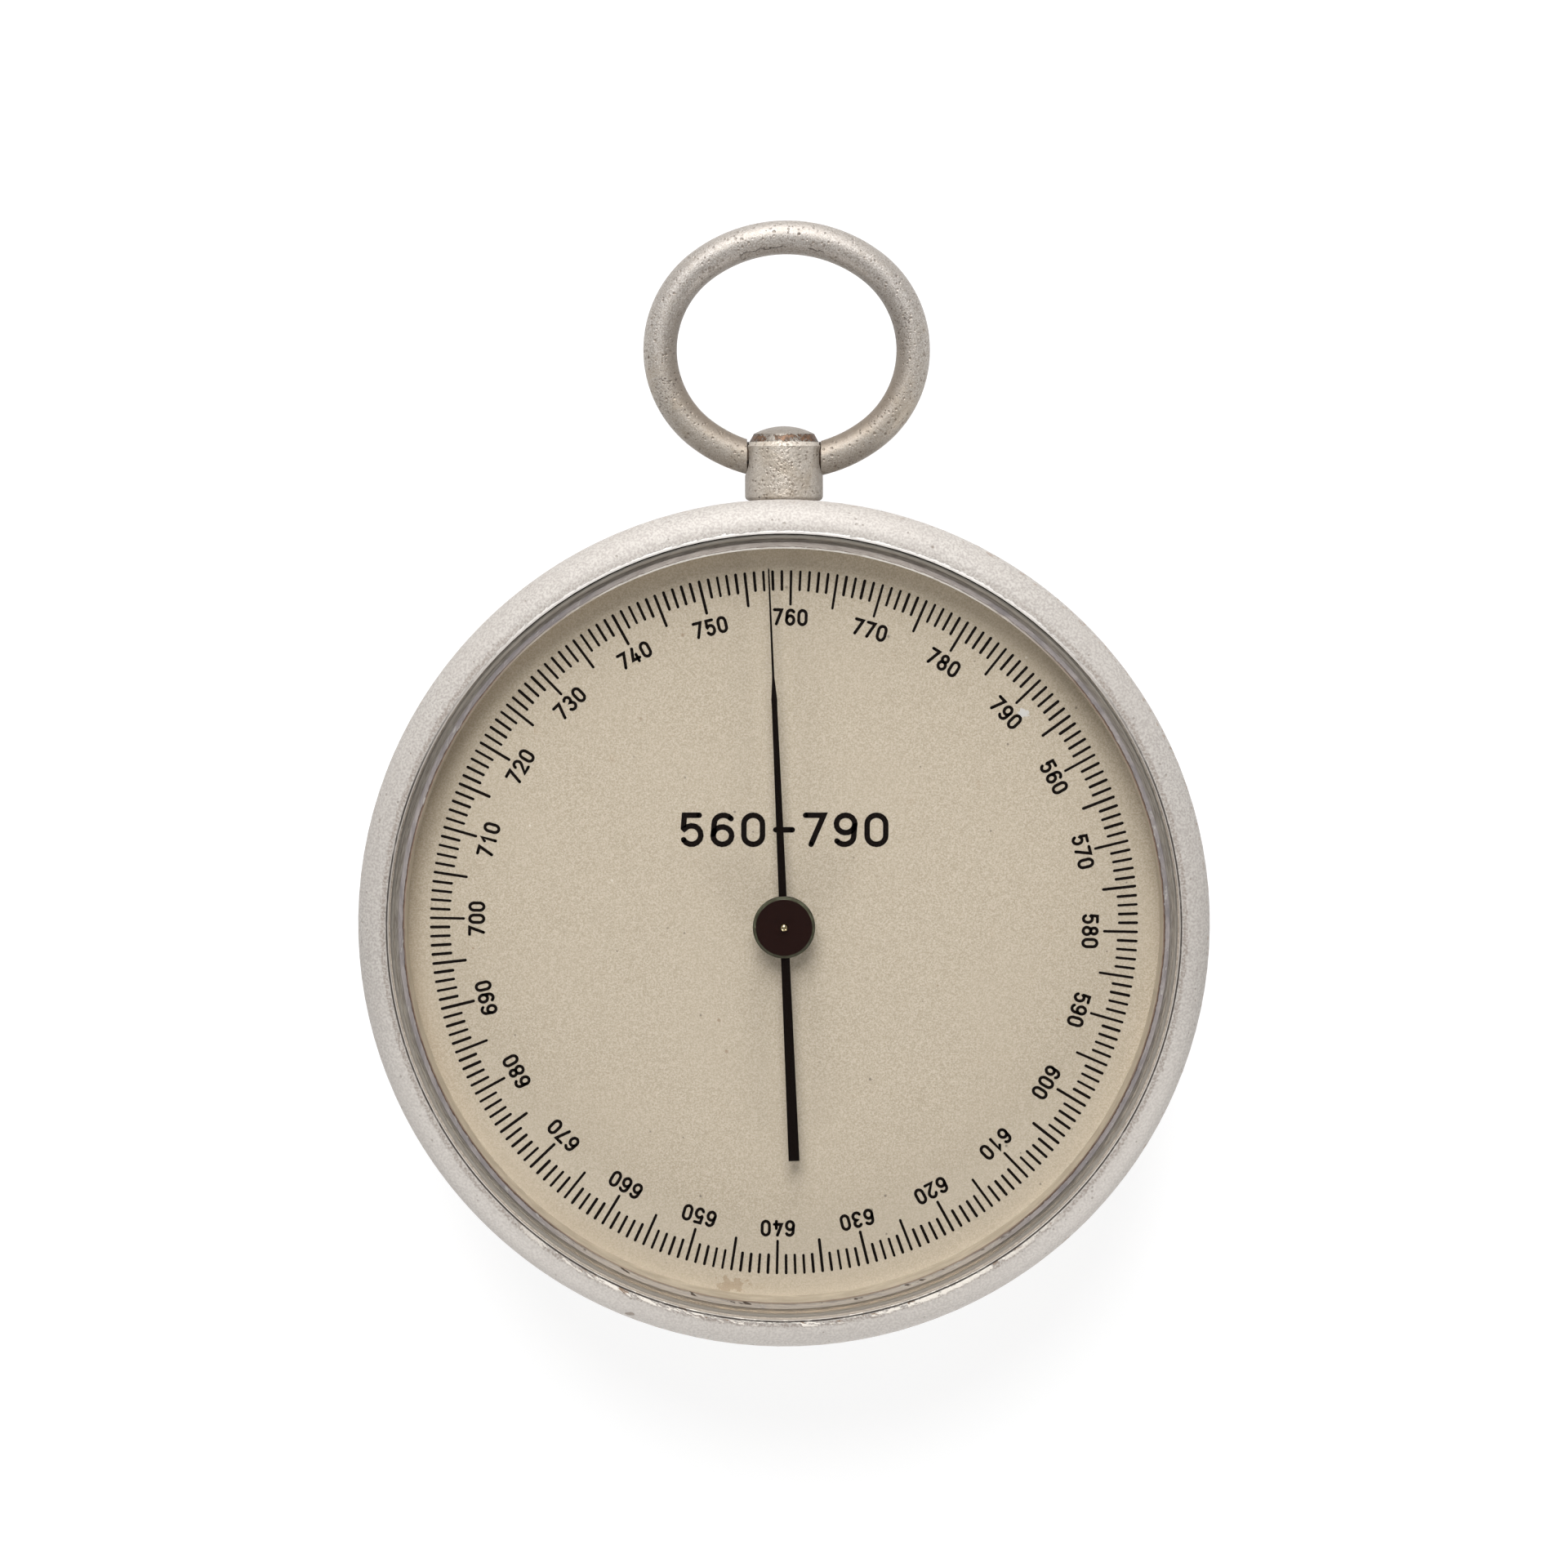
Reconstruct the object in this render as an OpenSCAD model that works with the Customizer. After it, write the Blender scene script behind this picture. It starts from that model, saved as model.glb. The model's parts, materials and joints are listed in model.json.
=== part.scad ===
// Pocket barometer: an aneroid movement in a round case, with a bow to hang it by.
// Millimetres. The back lies on z = 0 and the dial faces +Z. The bow points to +Y.
// The origin is on the axis of the pointer.

/* [Case] */
// Outer radius of the case wall
case_r = 38; // [37.5:0.1:42]
// Thickness of the case wall and of its back
case_wall = 1.5; // [1.3:0.1:1.8]
// Radius of the rounded back edge
case_edge = 3; // [2.2:0.1:3.4]

/* [Bezel and glass] */
// Wall of the bezel skirt round the case
bezel_wall = 1.15; // [0.9:0.05:1.6]
// How far the half-round edge stands out past the skirt
bezel_bulge = 0.8; // [0.4:0.1:1.2]
// How far the skirt reaches down from the case rim
bezel_skirt = 3.7; // [2.6:0.1:3.8]
// Radius of the half-round edge
bezel_round = 3; // [2.6:0.1:3.4]
// Thickness of the lip that holds the glass
lip_t = 0.35; // [0.3:0.05:0.6]
// How far the lip covers the glass
lip_cover = 0.95; // [0.7:0.05:1.2]
// Chamfer on the inner edge of the lip
lip_chamfer = 0.12; // [0.05:0.01:0.2]
// Thickness of the glass
crystal_t = 0.7; // [0.6:0.05:1]

/* [Dial] */
// Thickness of the dial plate
dial_t = 0.8; // [0.6:0.1:1]
// Gap between the screw heads on the bridge and the dial
dial_clear = 0.3; // [0.2:0.05:0.6]
// Depth of the dial face below the case rim
dial_drop = 0.9; // [0.6:0.05:1]
// Gap round the dial plate
dial_gap = 0.2; // [0.1:0.05:0.4]
// Hole in the middle of the dial
dial_hole_r = 1.2; // [1:0.1:2]
// How far the ring covers the edge of the dial
ring_cover = 0.85; // [0.6:0.05:1.2]
// Height of the ring above the case rim
ring_h = 2.2; // [2.1:0.05:2.6]
// Width of the inner land on top of the ring
ring_land = 0.6; // [0.4:0.05:0.8]
// Width of the groove beside the land
ring_groove_w = 0.45; // [0.3:0.05:0.6]
// Depth of that groove
ring_groove_d = 0.4; // [0.2:0.05:0.8]
// Radius of the three dial feet
dial_foot_r = 0.9; // [0.7:0.05:1]
// Length of the dial feet
dial_foot_l = 5; // [4:0.5:7]

/* [Pendant and bow] */
// Height of the pendant's axis above the back
pendant_z = 12.4; // [11.8:0.1:12.6]
// Radius of the boss that carries the pendant
boss_r = 3.2; // [3:0.1:3.6]
// How far the boss stands out of the case wall
boss_h = 1.9; // [1.6:0.1:2.6]
// Depth of the flat pad inside the wall
pad_h = 0.7; // [0.5:0.1:1]
// Radius of the pendant barrel
pendant_r = 3.72; // [3.6:0.02:3.9]
// Length of the barrel up to its chamfer
pendant_l = 5.55; // [5.4:0.05:6.4]
// Length of the chamfer below the dome
pendant_chamfer_l = 0.8; // [0.5:0.1:1]
// Width of the chamfer below the dome
pendant_chamfer_w = 0.45; // [0.3:0.05:0.7]
// Height of the dome
pendant_dome_h = 0.73; // [0.4:0.05:1]
// Rounding at the foot of the barrel
pendant_foot_round = 0.45; // [0.2:0.05:0.6]
// Depth of the round faces milled on its sides
pendant_flat_d = 0.4; // [0.3:0.01:0.5]
// Radius of the stud that fixes the pendant
stud_r = 1.5; // [1.3:0.1:1.6]
// Length of the stud inside the case
stud_in = 3.1; // [2.9:0.1:4]
// Thickness of the pendant washer
washer_t = 0.6; // [0.4:0.1:0.8]
// Radius of the pendant washer
washer_r = 3; // [2.6:0.1:3.2]
// Height of the pendant nut
nut_h = 1.8; // [1.5:0.1:2]
// Corner radius of the pendant nut
nut_r = 2.9; // [2.6:0.1:3.2]
// Distance from the pendant's seat to the bow's hinge
hinge_up = 4.1; // [4:0.05:4.3]
// Radius of the bow's side curves, to the middle of its wire
bow_side_r = 9.94; // [9:0.02:11]
// How oval the bow is: its half width less its half height, halved
bow_oval = 0.7; // [0.3:0.05:1]
// Thickness of the bow's wire
bow_wire = 3.2; // [2.6:0.1:3.4]
// Sideways offset of the loop on its pins
bow_shift = 0.25; // [0:0.05:0.4]
// Radius of the bow's pins
bow_pin_r = 0.8; // [0.6:0.05:1]
// Length of the bow's pins inside the pendant
bow_pin_l = 1.8; // [1.2:0.1:2.4]

/* [Reading] */
// Reading that the pointer shows
reading = 757.6; // [740:0.1:780]
// Lowest reading of the scale
scale_low = 560; // [560:1:580]
// Highest reading that the pointer reaches
scale_high = 795; // [790:1:797]
// Reading at the top of the dial
scale_top = 760; // [750:10:760]
// Degrees of pointer travel for one division
division_deg = 1.5; // [1.4:0.01:1.5]
// Clockwise turn of the dial in its case
dial_turn = 1.15; // [0:0.05:2]

/* [Pointer] */
// Length of the pointer from its axis to its tip
pointer_l = 33.7; // [33:0.1:34.2]
// Length of the pointer's tail
tail_l = 22.2; // [18:0.2:26]
// Width of the pointer at its hub
pointer_w = 0.79; // [0.6:0.01:1]
// Width of the pointer before its swell
pointer_neck_w = 0.52; // [0.4:0.01:0.6]
// Width of the needle
needle_w = 0.22; // [0.14:0.01:0.24]
// Distance from the axis to the swell
swell_at = 21.4; // [18:0.2:24]
// Width of the tail at its end
tail_w = 1.03; // [0.8:0.01:1.4]
// Thickness of the pointer
pointer_t = 0.4; // [0.3:0.05:0.5]
// Height of the pointer above the dial face
pointer_up = 1.5; // [1.2:0.05:1.6]
// Radius of the pointer hub
hub_r = 2.93; // [2.4:0.05:3.4]
// Height of the pointer hub
hub_h = 0.55; // [0.4:0.05:0.6]
// Chamfer on the pointer hub
hub_chamfer = 0.3; // [0.1:0.05:0.35]

/* [Movement frame] */
// Thickness of the base plate
base_t = 1.6; // [1.4:0.1:1.8]
// Gap between the base plate and the case wall
base_gap = 2.5; // [2:0.1:2.8]
// Radius of the bridge pillars
pillar_r = 2; // [1.6:0.1:2.4]
// Thickness of the bridge plate
bridge_t = 1; // [0.8:0.1:1.1]
// Width of the bridge's bars
bridge_w = 7; // [6:0.2:8]
// Radius of the dial pillars
dial_pillar_r = 1.8; // [1.6:0.1:2]
// Radius of the base plate screws
base_screw_r = 0.95; // [0.8:0.05:1.1]
// Head radius of the base plate screws
base_head_r = 1.7; // [1.5:0.1:2]
// Radius of the small screws
small_screw_r = 0.7; // [0.5:0.05:0.8]
// Head radius of the small screws
small_head_r = 1.3; // [1.1:0.1:1.5]
// Head height of the small screws
small_head_h = 0.6; // [0.4:0.05:0.6]
// Width of the screw slots
slot_w = 0.3; // [0.2:0.05:0.4]
// Depth of the screw slots
slot_d = 0.25; // [0.15:0.05:0.3]

/* [Capsules] */
// Gap between a capsule and the brackets beside it
capsule_room = 1.4; // [1:0.1:2.6]
// Width of the soldered rim
capsule_rim = 2.2; // [1.6:0.1:2.6]
// Thickness of a diaphragm
diaphragm_t = 0.3; // [0.2:0.02:0.35]
// Rise of a diaphragm from its rim to its flat
diaphragm_rise = 1.4; // [1.3:0.05:1.5]
// Number of corrugations on a diaphragm
ridge_count = 4; // [3:1:4]
// Radius of a corrugation
ridge_r = 0.6; // [0.5:0.02:0.7]
// Gap between the two capsules at their corrugations
capsule_gap = 0.4; // [0.3:0.05:0.5]
// Height of the lower corrugations above the base plate
capsule_up = 0.9; // [0.8:0.05:1]
// Radius of the adjusting screw
adjuster_r = 1.2; // [1:0.05:1.3]
// Radius of the adjusting screw's head
adjuster_head_r = 1.6; // [1.4:0.05:1.8]
// Radius of the hole in the back that reaches it
adjuster_hole_r = 2.2; // [2:0.1:2.6]

/* [Lever train] */
// Gap between the upper capsule and the hub on the rocking shaft
lever_clear = 0.25; // [0.2:0.05:0.4]
// Length of the short arm on the rocking shaft
short_arm_l = 2.9; // [2.6:0.05:3.1]
// Length of the upright arm that drives the sector
drive_l = 2.7; // [2.6:0.02:2.8]
// Distance from the sector's axis to its slot
sector_tail = 1.8; // [1.76:0.01:1.9]
// Radius of the rocking shaft
rock_r = 0.9; // [0.8:0.05:1]
// Radius of the shaft's journal
journal_r = 0.5; // [0.4:0.02:0.6]
// Radius of the drive pin
drive_pin_r = 0.3; // [0.25:0.01:0.32]
// Radius of the lifting pin
lift_pin_r = 0.35; // [0.3:0.01:0.4]
// Thickness of the shaft's brackets
bracket_t = 1.2; // [1:0.05:1.4]
// Distance of the left bracket from the edge of the base plate
left_bracket_in = 9.4; // [9:0.1:9.6]
// Left face of the right bracket
right_bracket_x = 8.6; // [8.4:0.05:8.7]

/* [Gears] */
// Module of the gear teeth
gear_module = 0.35; // [0.34:0.005:0.35]
// Teeth of the sector if it went all the way round
sector_full = 96; // [96:1:96]
// Teeth cut on the sector
sector_teeth = 13; // [11:2:13]
// Leaves of the pinion
leaves = 8; // [8:1:8]
// Sideways place of the sector's axis
sector_x = 12.63; // [12.5:0.01:12.8]
// Thickness of the sector
sector_t = 0.7; // [0.5:0.05:0.8]
// Gap between the sector and the bridge
sector_gap = 0.5; // [0.45:0.05:0.6]
// Radius of the sector's hub
sector_hub_r = 2.1; // [1.8:0.05:2.2]
// Radius of the sector's arbor
sector_arbor_r = 0.6; // [0.5:0.02:0.65]
// Radius of the pointer's arbor
arbor_r = 0.6; // [0.5:0.02:0.7]
// Radius of the arbor where it carries the pinion
arbor_journal_r = 0.45; // [0.4:0.01:0.5]
// Radius of the arbor in the pointer hub
arbor_top_r = 0.39; // [0.34:0.01:0.4]
// Radius of the lower pivots
pivot_r = 0.3; // [0.25:0.01:0.35]
// Radius of the bushes
bush_r = 1.2; // [1:0.05:1.4]

/* [Hairspring] */
// Turns of the hairspring
hair_turns = 4; // [3:1:4]
// Radius of the hairspring's inner end
hair_in_r = 1.62; // [1.6:0.02:1.8]
// Radius of the hairspring's outer end
hair_out_r = 4.8; // [4.6:0.05:5]
// Thickness of the hairspring's strip
hair_t = 0.2; // [0.15:0.01:0.25]
// Height of the hairspring's strip
hair_h = 0.7; // [0.5:0.05:0.8]
// Radius of the hairspring's collet
collet_r = 1.4; // [1.2:0.05:1.45]

/* [Clearances] */
// Clearance of a shaft in its hole
fit = 0.05; // [0.03:0.01:0.07]
// Clearance between fixed pieces
seat = 0.02; // [0.01:0.01:0.03]

/* [Hidden] */
$fn = 96;
cut = 1;

// Heights in the movement, from the base plate through the capsules to the bridge
base_z = case_wall;
base_top = base_z + base_t;
capsule_half = diaphragm_rise + diaphragm_t;
capsule_low_z = base_top + capsule_up + capsule_half;
capsule_high_z = capsule_low_z + 2 * capsule_half + capsule_gap;
capsule_top_z = capsule_high_z + diaphragm_rise;
short_hub_wall = 0.8;
rock_z = capsule_high_z + capsule_half + lever_clear + rock_r + short_hub_wall;
sector_z = rock_z + drive_l - sector_t / 2;
bridge_z = sector_z + sector_t + sector_gap;
bridge_top = bridge_z + bridge_t;
pillar_h = bridge_z - base_top;
pinion_below = 0.4;
pinion_z = sector_z - pinion_below;
pinion_top = bridge_z - 2 * fit;
collet_h = 1.4;
collet_below = 0.3;
collet_z = pinion_z - collet_below - collet_h;
hair_z = collet_z + (collet_h - hair_h) / 2;
end_play = 0.2;

// Case, ring, glass and bezel
case_in_r = case_r - case_wall;
dial_r = case_in_r - dial_gap;
dial_z = bridge_top + small_head_h + dial_clear + dial_t;
case_rim_z = dial_z + dial_drop;
ring_in_r = dial_r - ring_cover;
ring_tube_r = case_in_r - 2 * fit;
ring_out_r = case_r - 2 * fit;
ring_top = case_rim_z + ring_h;
crystal_r = ring_out_r - 2 * fit;
crystal_z = ring_top + seat;
lip_z = crystal_z + crystal_t + seat;
lip_r = crystal_r - lip_cover;
bezel_top = lip_z + lip_t;
bezel_in_r = case_r + fit;
skirt_r = bezel_in_r + bezel_wall;
bezel_r = skirt_r + bezel_bulge;
skirt_z = case_rim_z - bezel_skirt;

// Pendant and bow
seat_y = case_r + boss_h;
pad_y = case_in_r - pad_h;
hinge_y = seat_y + hinge_up;
bow_wire_r = bow_wire / 2;
bow_side_x = 3 * bow_oval;
bow_top_y = 4 * bow_oval;
bow_top_r = bow_side_r + 5 * bow_oval;
flat_x = pendant_r - pendant_flat_d;
bow_end_x = flat_x + 4 * fit;
bow_y = hinge_y - bow_top_y + sqrt(bow_top_r * bow_top_r - bow_end_x * bow_end_x);
side_face_r = bow_wire_r + 3 * fit;

// Reading, and the angles that follow from it
mid_reading = (scale_low + scale_high) / 2;
gear_ratio = sector_full / leaves;
pointer_rest = (scale_top - reading) * division_deg - dial_turn;
sector_rest = (reading - mid_reading) * division_deg / gear_ratio;
rock_rest = sector_rest * sector_tail / drive_l;
lift_rest = short_arm_l * rock_rest * PI / 180;

// Pillars, screws and bushes of the frame
base_r = case_in_r - base_gap;
pillar_edge = 5;
pillar_at = [[-18, 12], [22, -4], [8, pillar_edge - base_r]];
pillar_screw_l = 3;
bridge_eye = 0.5;
dial_post_angle = 60;
dial_post_edge = 3;
dial_post_r = base_r - dial_post_edge;
spigot_r = 1.2;
base_screw_edge = 6;
base_screw_at = base_r - base_screw_edge;
base_screw_angle = 30;
base_head_h = 0.7;
foot_screw_below = 2.6;
foot_screw_z = dial_z - dial_t - foot_screw_below;
bush_wall = 0.8;
bush_flange = 0.2;
hair_post_r = 0.5;
hair_stud_angle = 150;
turn_steps = 24;

// Gear geometry
pressure = 20;
gear_distance = gear_module * (sector_full + leaves) / 2;
sector_y = -sqrt(gear_distance * gear_distance - sector_x * sector_x);
sector_to_pinion = atan2(-sector_y, -sector_x);
sector_pitch_r = gear_module * sector_full / 2;
pinion_pitch_r = gear_module * leaves / 2;
sector_step = 360 / sector_full;
sector_tip = 0.5 * gear_module;
sector_root = 1.2 * gear_module;
pinion_tip = 0.8 * gear_module;
pinion_root = 1.05 * gear_module;
tooth_play = 0.12 * gear_module;

// Lever train
rock_y = sector_y;
drive_x = sector_x - sector_tail;
drive_arm_t = 1;
drive_arm_w = 1.4;
drive_hub_wall = 0.6;
drive_arm_below = 0.4;
drive_pin_above = 0.3;
shaft_gap = 0.4;
left_bracket_x = base_r - left_bracket_in;
rock_left = -left_bracket_x + shaft_gap;
rock_right = right_bracket_x - shaft_gap;
short_arm_t = 1.6;
short_arm_half = 0.8;
short_arm_end = 0.9;
lift_play = 0.07;
clamp_r = 0.4;
clamp_head_r = 0.75;
clamp_head_h = 0.5;
lift_z = rock_z - lift_rest;
fork_depth = 1.4;
fork_above = 0.9;
fork_w = 2;
cheek_t = 0.6;
cheek_gap = 0.2;
post_foot_r = 1.4;
post_foot_h = 0.2;
pivot_screw_r = 0.9;
pivot_head_r = 1.5;
pivot_pin_r = 0.4;
pivot_pin_l = 1.4;

// Brackets of the rocking shaft
bracket_half = 3;
bracket_top_r = 2.1;
bracket_foot_l = 6.5;
bracket_foot_w = 3.2;
bracket_foot_t = 1.2;
right_foot_x = -0.8;
left_foot_x = bracket_t - bracket_foot_w;
bracket_screw_y = rock_y + bracket_half + bracket_foot_l / 2;
left_screw_x = -left_bracket_x - bracket_t + left_foot_x + bracket_foot_w / 2;
right_screw_x = right_bracket_x + right_foot_x + bracket_foot_w / 2;
bracket_screw_at = [[left_screw_x, bracket_screw_y], [right_screw_x, bracket_screw_y]];

// Sector and pinion
sector_window = 15;
sector_rim = 2;
sector_inner = 1.4;
slot_play = 0.15;
slot_inner = 0.5;
slot_outer = 1.1;
slot_wall = 0.7;
sector_collet_h = 0.5;
sector_collet_wall = 0.4;
// A gap of the pinion faces the sector's middle tooth when the sector is at mid travel
pinion_phase = sector_to_pinion + 180 + 180 / leaves - sector_rest * gear_ratio;

// Capsules
capsule_x = (right_bracket_x - left_bracket_x) / 2;
capsule_y = rock_y - short_arm_l;
capsule_r = (right_bracket_x + left_bracket_x) / 2 - capsule_room;
diaphragm_r = capsule_r - capsule_rim;
foot_up = 0.5;
foot_z = base_top + foot_up;
guide_x = 3.2;
guide_r = 0.5;
link_r = 2.8;
foot_rim = 0.3;
foot_r = guide_x + guide_r + foot_rim;
ridge_pitch = (diaphragm_r - foot_r - 2 * ridge_r) / ridge_count;
adjuster_sunk = 0.3;

// Pointer
pointer_z = dial_z + pointer_up;
hub_z = pointer_z + pointer_t;
arbor_dome_z = hub_z + hub_h;
swell_before = 1.2;
swell_after = 2.1;
swell_w = 0.03;
pointer_eye_r = hub_r - 0.5;

function polar(r, a) = [r * cos(a), r * sin(a)];

// Angle in degrees between the start of an involute and its point at pressure angle a
function involute(a) = tan(a) * 180 / PI - a;

// Half the angle of a tooth at radius r, for a gear of pitch radius p and n teeth
function tooth_half(r, p, n) =
    let (base_circle = p * cos(pressure))
    let (at = max(r, base_circle))
    90 / n - tooth_play / p * 90 / PI + involute(pressure) - involute(acos(min(1, base_circle / at)));

// Outline of one tooth about angle a, from its root over its tip
function tooth(p, n, tip, root, a, steps = 3) =
    let (low = p - root)
    let (rise = (tip + root) / steps)
    concat(
        [for (i = [0 : steps]) polar(low + i * rise, a - tooth_half(low + i * rise, p, n))],
        [for (i = [steps : -1 : 0]) polar(low + i * rise, a + tooth_half(low + i * rise, p, n))]);

// Two edges of a flat spiral strip, the inner one first and the outer one back
function spiral_r(u) = hair_in_r + (hair_out_r - hair_in_r) * u;
function spiral_edge(side, first, last, step, n) =
    [for (i = [first : step : last]) polar(spiral_r(i / n) + side * hair_t / 2,
        hair_stud_angle - (1 - i / n) * hair_turns * 360)];

// Copies of a child on a circle
module around(r, count, start = 0) {
    for (i = [0 : count - 1])
        rotate(start + i * 360 / count)
            translate([r, 0, 0])
                children();
}

// A screw with a slotted head above z = 0 and its shank below
module slotted_screw(head_r, head_h, shank_r, shank_l) {
    difference() {
        union() {
            cylinder(r = head_r, h = head_h);
            translate([0, 0, -shank_l])
                cylinder(r = shank_r, h = shank_l + head_h / 2);
        }
        translate([-head_r - cut, -slot_w / 2, head_h - slot_d])
            cube([2 * head_r + 2 * cut, slot_w, slot_d + cut]);
    }
}

// A tube with its foot at z = 0
module tube(out_r, in_r, h) {
    difference() {
        cylinder(r = out_r, h = h);
        translate([0, 0, -cut])
            cylinder(r = in_r, h = h + 2 * cut);
    }
}

// Places children on the axis of the pendant, which runs along +Y, from the height y
module on_pendant(y) {
    translate([0, y, pendant_z])
        rotate([-90, 0, 0])
            children();
}

// Places children on the rocking shaft's axis, at the angle of the reading
module on_rock() {
    translate([0, rock_y, rock_z])
        rotate([rock_rest, 0, 0])
            children();
}

// A cylinder along +X from x0 to x1
module along_x(r, x0, x1) {
    translate([x0, 0, 0])
        rotate([0, 90, 0])
            cylinder(r = r, h = x1 - x0);
}

// Half section of a drum with a rounded lower edge
module drum_section(r, low, edge, top) {
    translate([0, low])
        square([r - edge, top - low]);
    translate([0, low + edge])
        square([r, top - low - edge]);
    translate([r - edge, low + edge])
        circle(r = edge);
}

module case_body() {
    color("silver")
    difference() {
        union() {
            difference() {
                rotate_extrude()
                    drum_section(case_r, 0, case_edge, case_rim_z);
                rotate_extrude()
                    drum_section(case_in_r, case_wall, case_edge - case_wall, case_rim_z + cut);
            }
            on_pendant(pad_y)
                cylinder(r = boss_r, h = seat_y - pad_y);
        }
        on_pendant(pad_y - cut)
            cylinder(r = stud_r + seat, h = seat_y - pad_y + 2 * cut);
        translate([capsule_x, capsule_y, -cut])
            cylinder(r = adjuster_hole_r, h = case_wall + 2 * cut);
        around(base_screw_at, 3, base_screw_angle) {
            translate([0, 0, -cut])
                cylinder(r = base_screw_r + seat, h = case_wall + 2 * cut);
            translate([0, 0, -cut])
                cylinder(r = base_head_r + fit, h = base_head_h + 2 * fit + cut);
        }
    }
}

module bezel() {
    color("lightgray")
    rotate_extrude()
        difference() {
            union() {
                translate([bezel_in_r - cut, skirt_z])
                    square([bezel_wall + cut, bezel_top - bezel_round - skirt_z]);
                translate([bezel_r - bezel_round, bezel_top - bezel_round])
                    circle(r = bezel_round);
                translate([lip_r, lip_z])
                    square([bezel_r - bezel_round - lip_r + seat, lip_t]);
            }
            square([bezel_in_r, lip_z]);
            square([lip_r, bezel_top + cut]);
            translate([lip_r, bezel_top])
                rotate(45)
                    square(lip_chamfer * sqrt(2), center = true);
        }
}

module crystal() {
    color("lightcyan", 0.3)
    translate([0, 0, crystal_z])
        cylinder(r = crystal_r, h = crystal_t);
}

module dial_ring() {
    color("dimgray")
    rotate_extrude()
        difference() {
            union() {
                translate([ring_in_r, dial_z])
                    square([ring_tube_r - ring_in_r, ring_top - dial_z]);
                translate([ring_in_r, case_rim_z])
                    square([ring_out_r - ring_in_r, ring_h]);
            }
            translate([ring_in_r + ring_land, ring_top - ring_groove_d])
                square([ring_groove_w, ring_groove_d + cut]);
        }
}

module dial_plate() {
    color("tan")
    translate([0, 0, dial_z - dial_t])
        difference() {
            cylinder(r = dial_r, h = dial_t);
            translate([0, 0, -cut])
                cylinder(r = dial_hole_r, h = dial_t + 2 * cut);
        }
}

module dial_feet() {
    color("peru")
    around(dial_post_r, 3, dial_post_angle)
        translate([0, 0, dial_z - dial_t - dial_foot_l])
            cylinder(r = dial_foot_r, h = dial_foot_l);
}

module dial_pillars() {
    color("goldenrod")
    around(dial_post_r, 3, dial_post_angle)
        difference() {
            union() {
                translate([0, 0, base_top])
                    cylinder(r = dial_pillar_r, h = dial_z - dial_t - base_top);
                translate([0, 0, base_z])
                    cylinder(r = spigot_r, h = base_t + seat);
            }
            translate([0, 0, dial_z - dial_t - dial_foot_l - seat])
                cylinder(r = dial_foot_r + seat, h = dial_foot_l + cut);
            translate([0, 0, foot_screw_z])
                along_x(small_screw_r + seat, 0, dial_pillar_r + cut);
        }
}

module dial_foot_screws() {
    color("steelblue")
    around(dial_post_r, 3, dial_post_angle)
        translate([dial_pillar_r + seat, 0, foot_screw_z])
            rotate([0, 90, 0])
                slotted_screw(small_head_r, small_head_h, small_screw_r, dial_pillar_r - dial_foot_r);
}

module base_plate() {
    color("goldenrod")
    difference() {
        translate([0, 0, base_z])
            cylinder(r = base_r, h = base_t);
        translate([0, 0, base_z - cut]) {
            cylinder(r = bush_r + seat, h = base_t + 2 * cut);
            translate([sector_x, sector_y, 0])
                cylinder(r = bush_r + seat, h = base_t + 2 * cut);
            translate([capsule_x, capsule_y, 0])
                cylinder(r = adjuster_r + bush_wall + seat, h = base_t + 2 * cut);
            for (side = [-1, 1])
                translate([capsule_x + side * guide_x, capsule_y, 0])
                    cylinder(r = guide_r + fit, h = base_t + 2 * cut);
            around(base_screw_at, 3, base_screw_angle)
                cylinder(r = base_screw_r + seat, h = base_t + 2 * cut);
            around(dial_post_r, 3, dial_post_angle)
                cylinder(r = spigot_r + seat, h = base_t + 2 * cut);
            for (p = pillar_at)
                translate(p)
                    cylinder(r = spigot_r + seat, h = base_t + 2 * cut);
            for (p = bracket_screw_at)
                translate(p)
                    cylinder(r = small_screw_r + seat, h = base_t + 2 * cut);
        }
    }
}

module base_screws() {
    color("steelblue")
    around(base_screw_at, 3, base_screw_angle)
        translate([0, 0, base_head_h + fit])
            mirror([0, 0, 1])
                slotted_screw(base_head_r, base_head_h, base_screw_r, base_top - base_head_h - 2 * fit);
}

// A bar of the bridge between two points
module bridge_bar(from, to) {
    run = to - from;
    translate([from[0], from[1], 0])
        rotate(atan2(run[1], run[0]))
            translate([0, -bridge_w / 2, 0])
                cube([norm(run), bridge_w, bridge_t]);
}

module bridge_plate() {
    color("gold")
    translate([0, 0, bridge_z])
        difference() {
            union() {
                bridge_bar(pillar_at[0], [0, 0]);
                bridge_bar([0, 0], [sector_x, sector_y]);
                bridge_bar([sector_x, sector_y], pillar_at[1]);
                bridge_bar([sector_x, sector_y], pillar_at[2]);
                for (p = concat(pillar_at, [[0, 0], [sector_x, sector_y]]))
                    translate(p)
                        cylinder(r = bridge_w / 2 + bridge_eye, h = bridge_t);
            }
            for (p = pillar_at)
                translate([p[0], p[1], -cut])
                    cylinder(r = small_screw_r + seat, h = bridge_t + 2 * cut);
            for (p = [[0, 0], [sector_x, sector_y]])
                translate([p[0], p[1], -cut])
                    cylinder(r = bush_r + seat, h = bridge_t + 2 * cut);
            rotate(hair_stud_angle)
                translate([hair_out_r + hair_post_r, 0, -cut])
                    cylinder(r = hair_post_r + seat, h = bridge_t + 2 * cut);
        }
}

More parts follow.
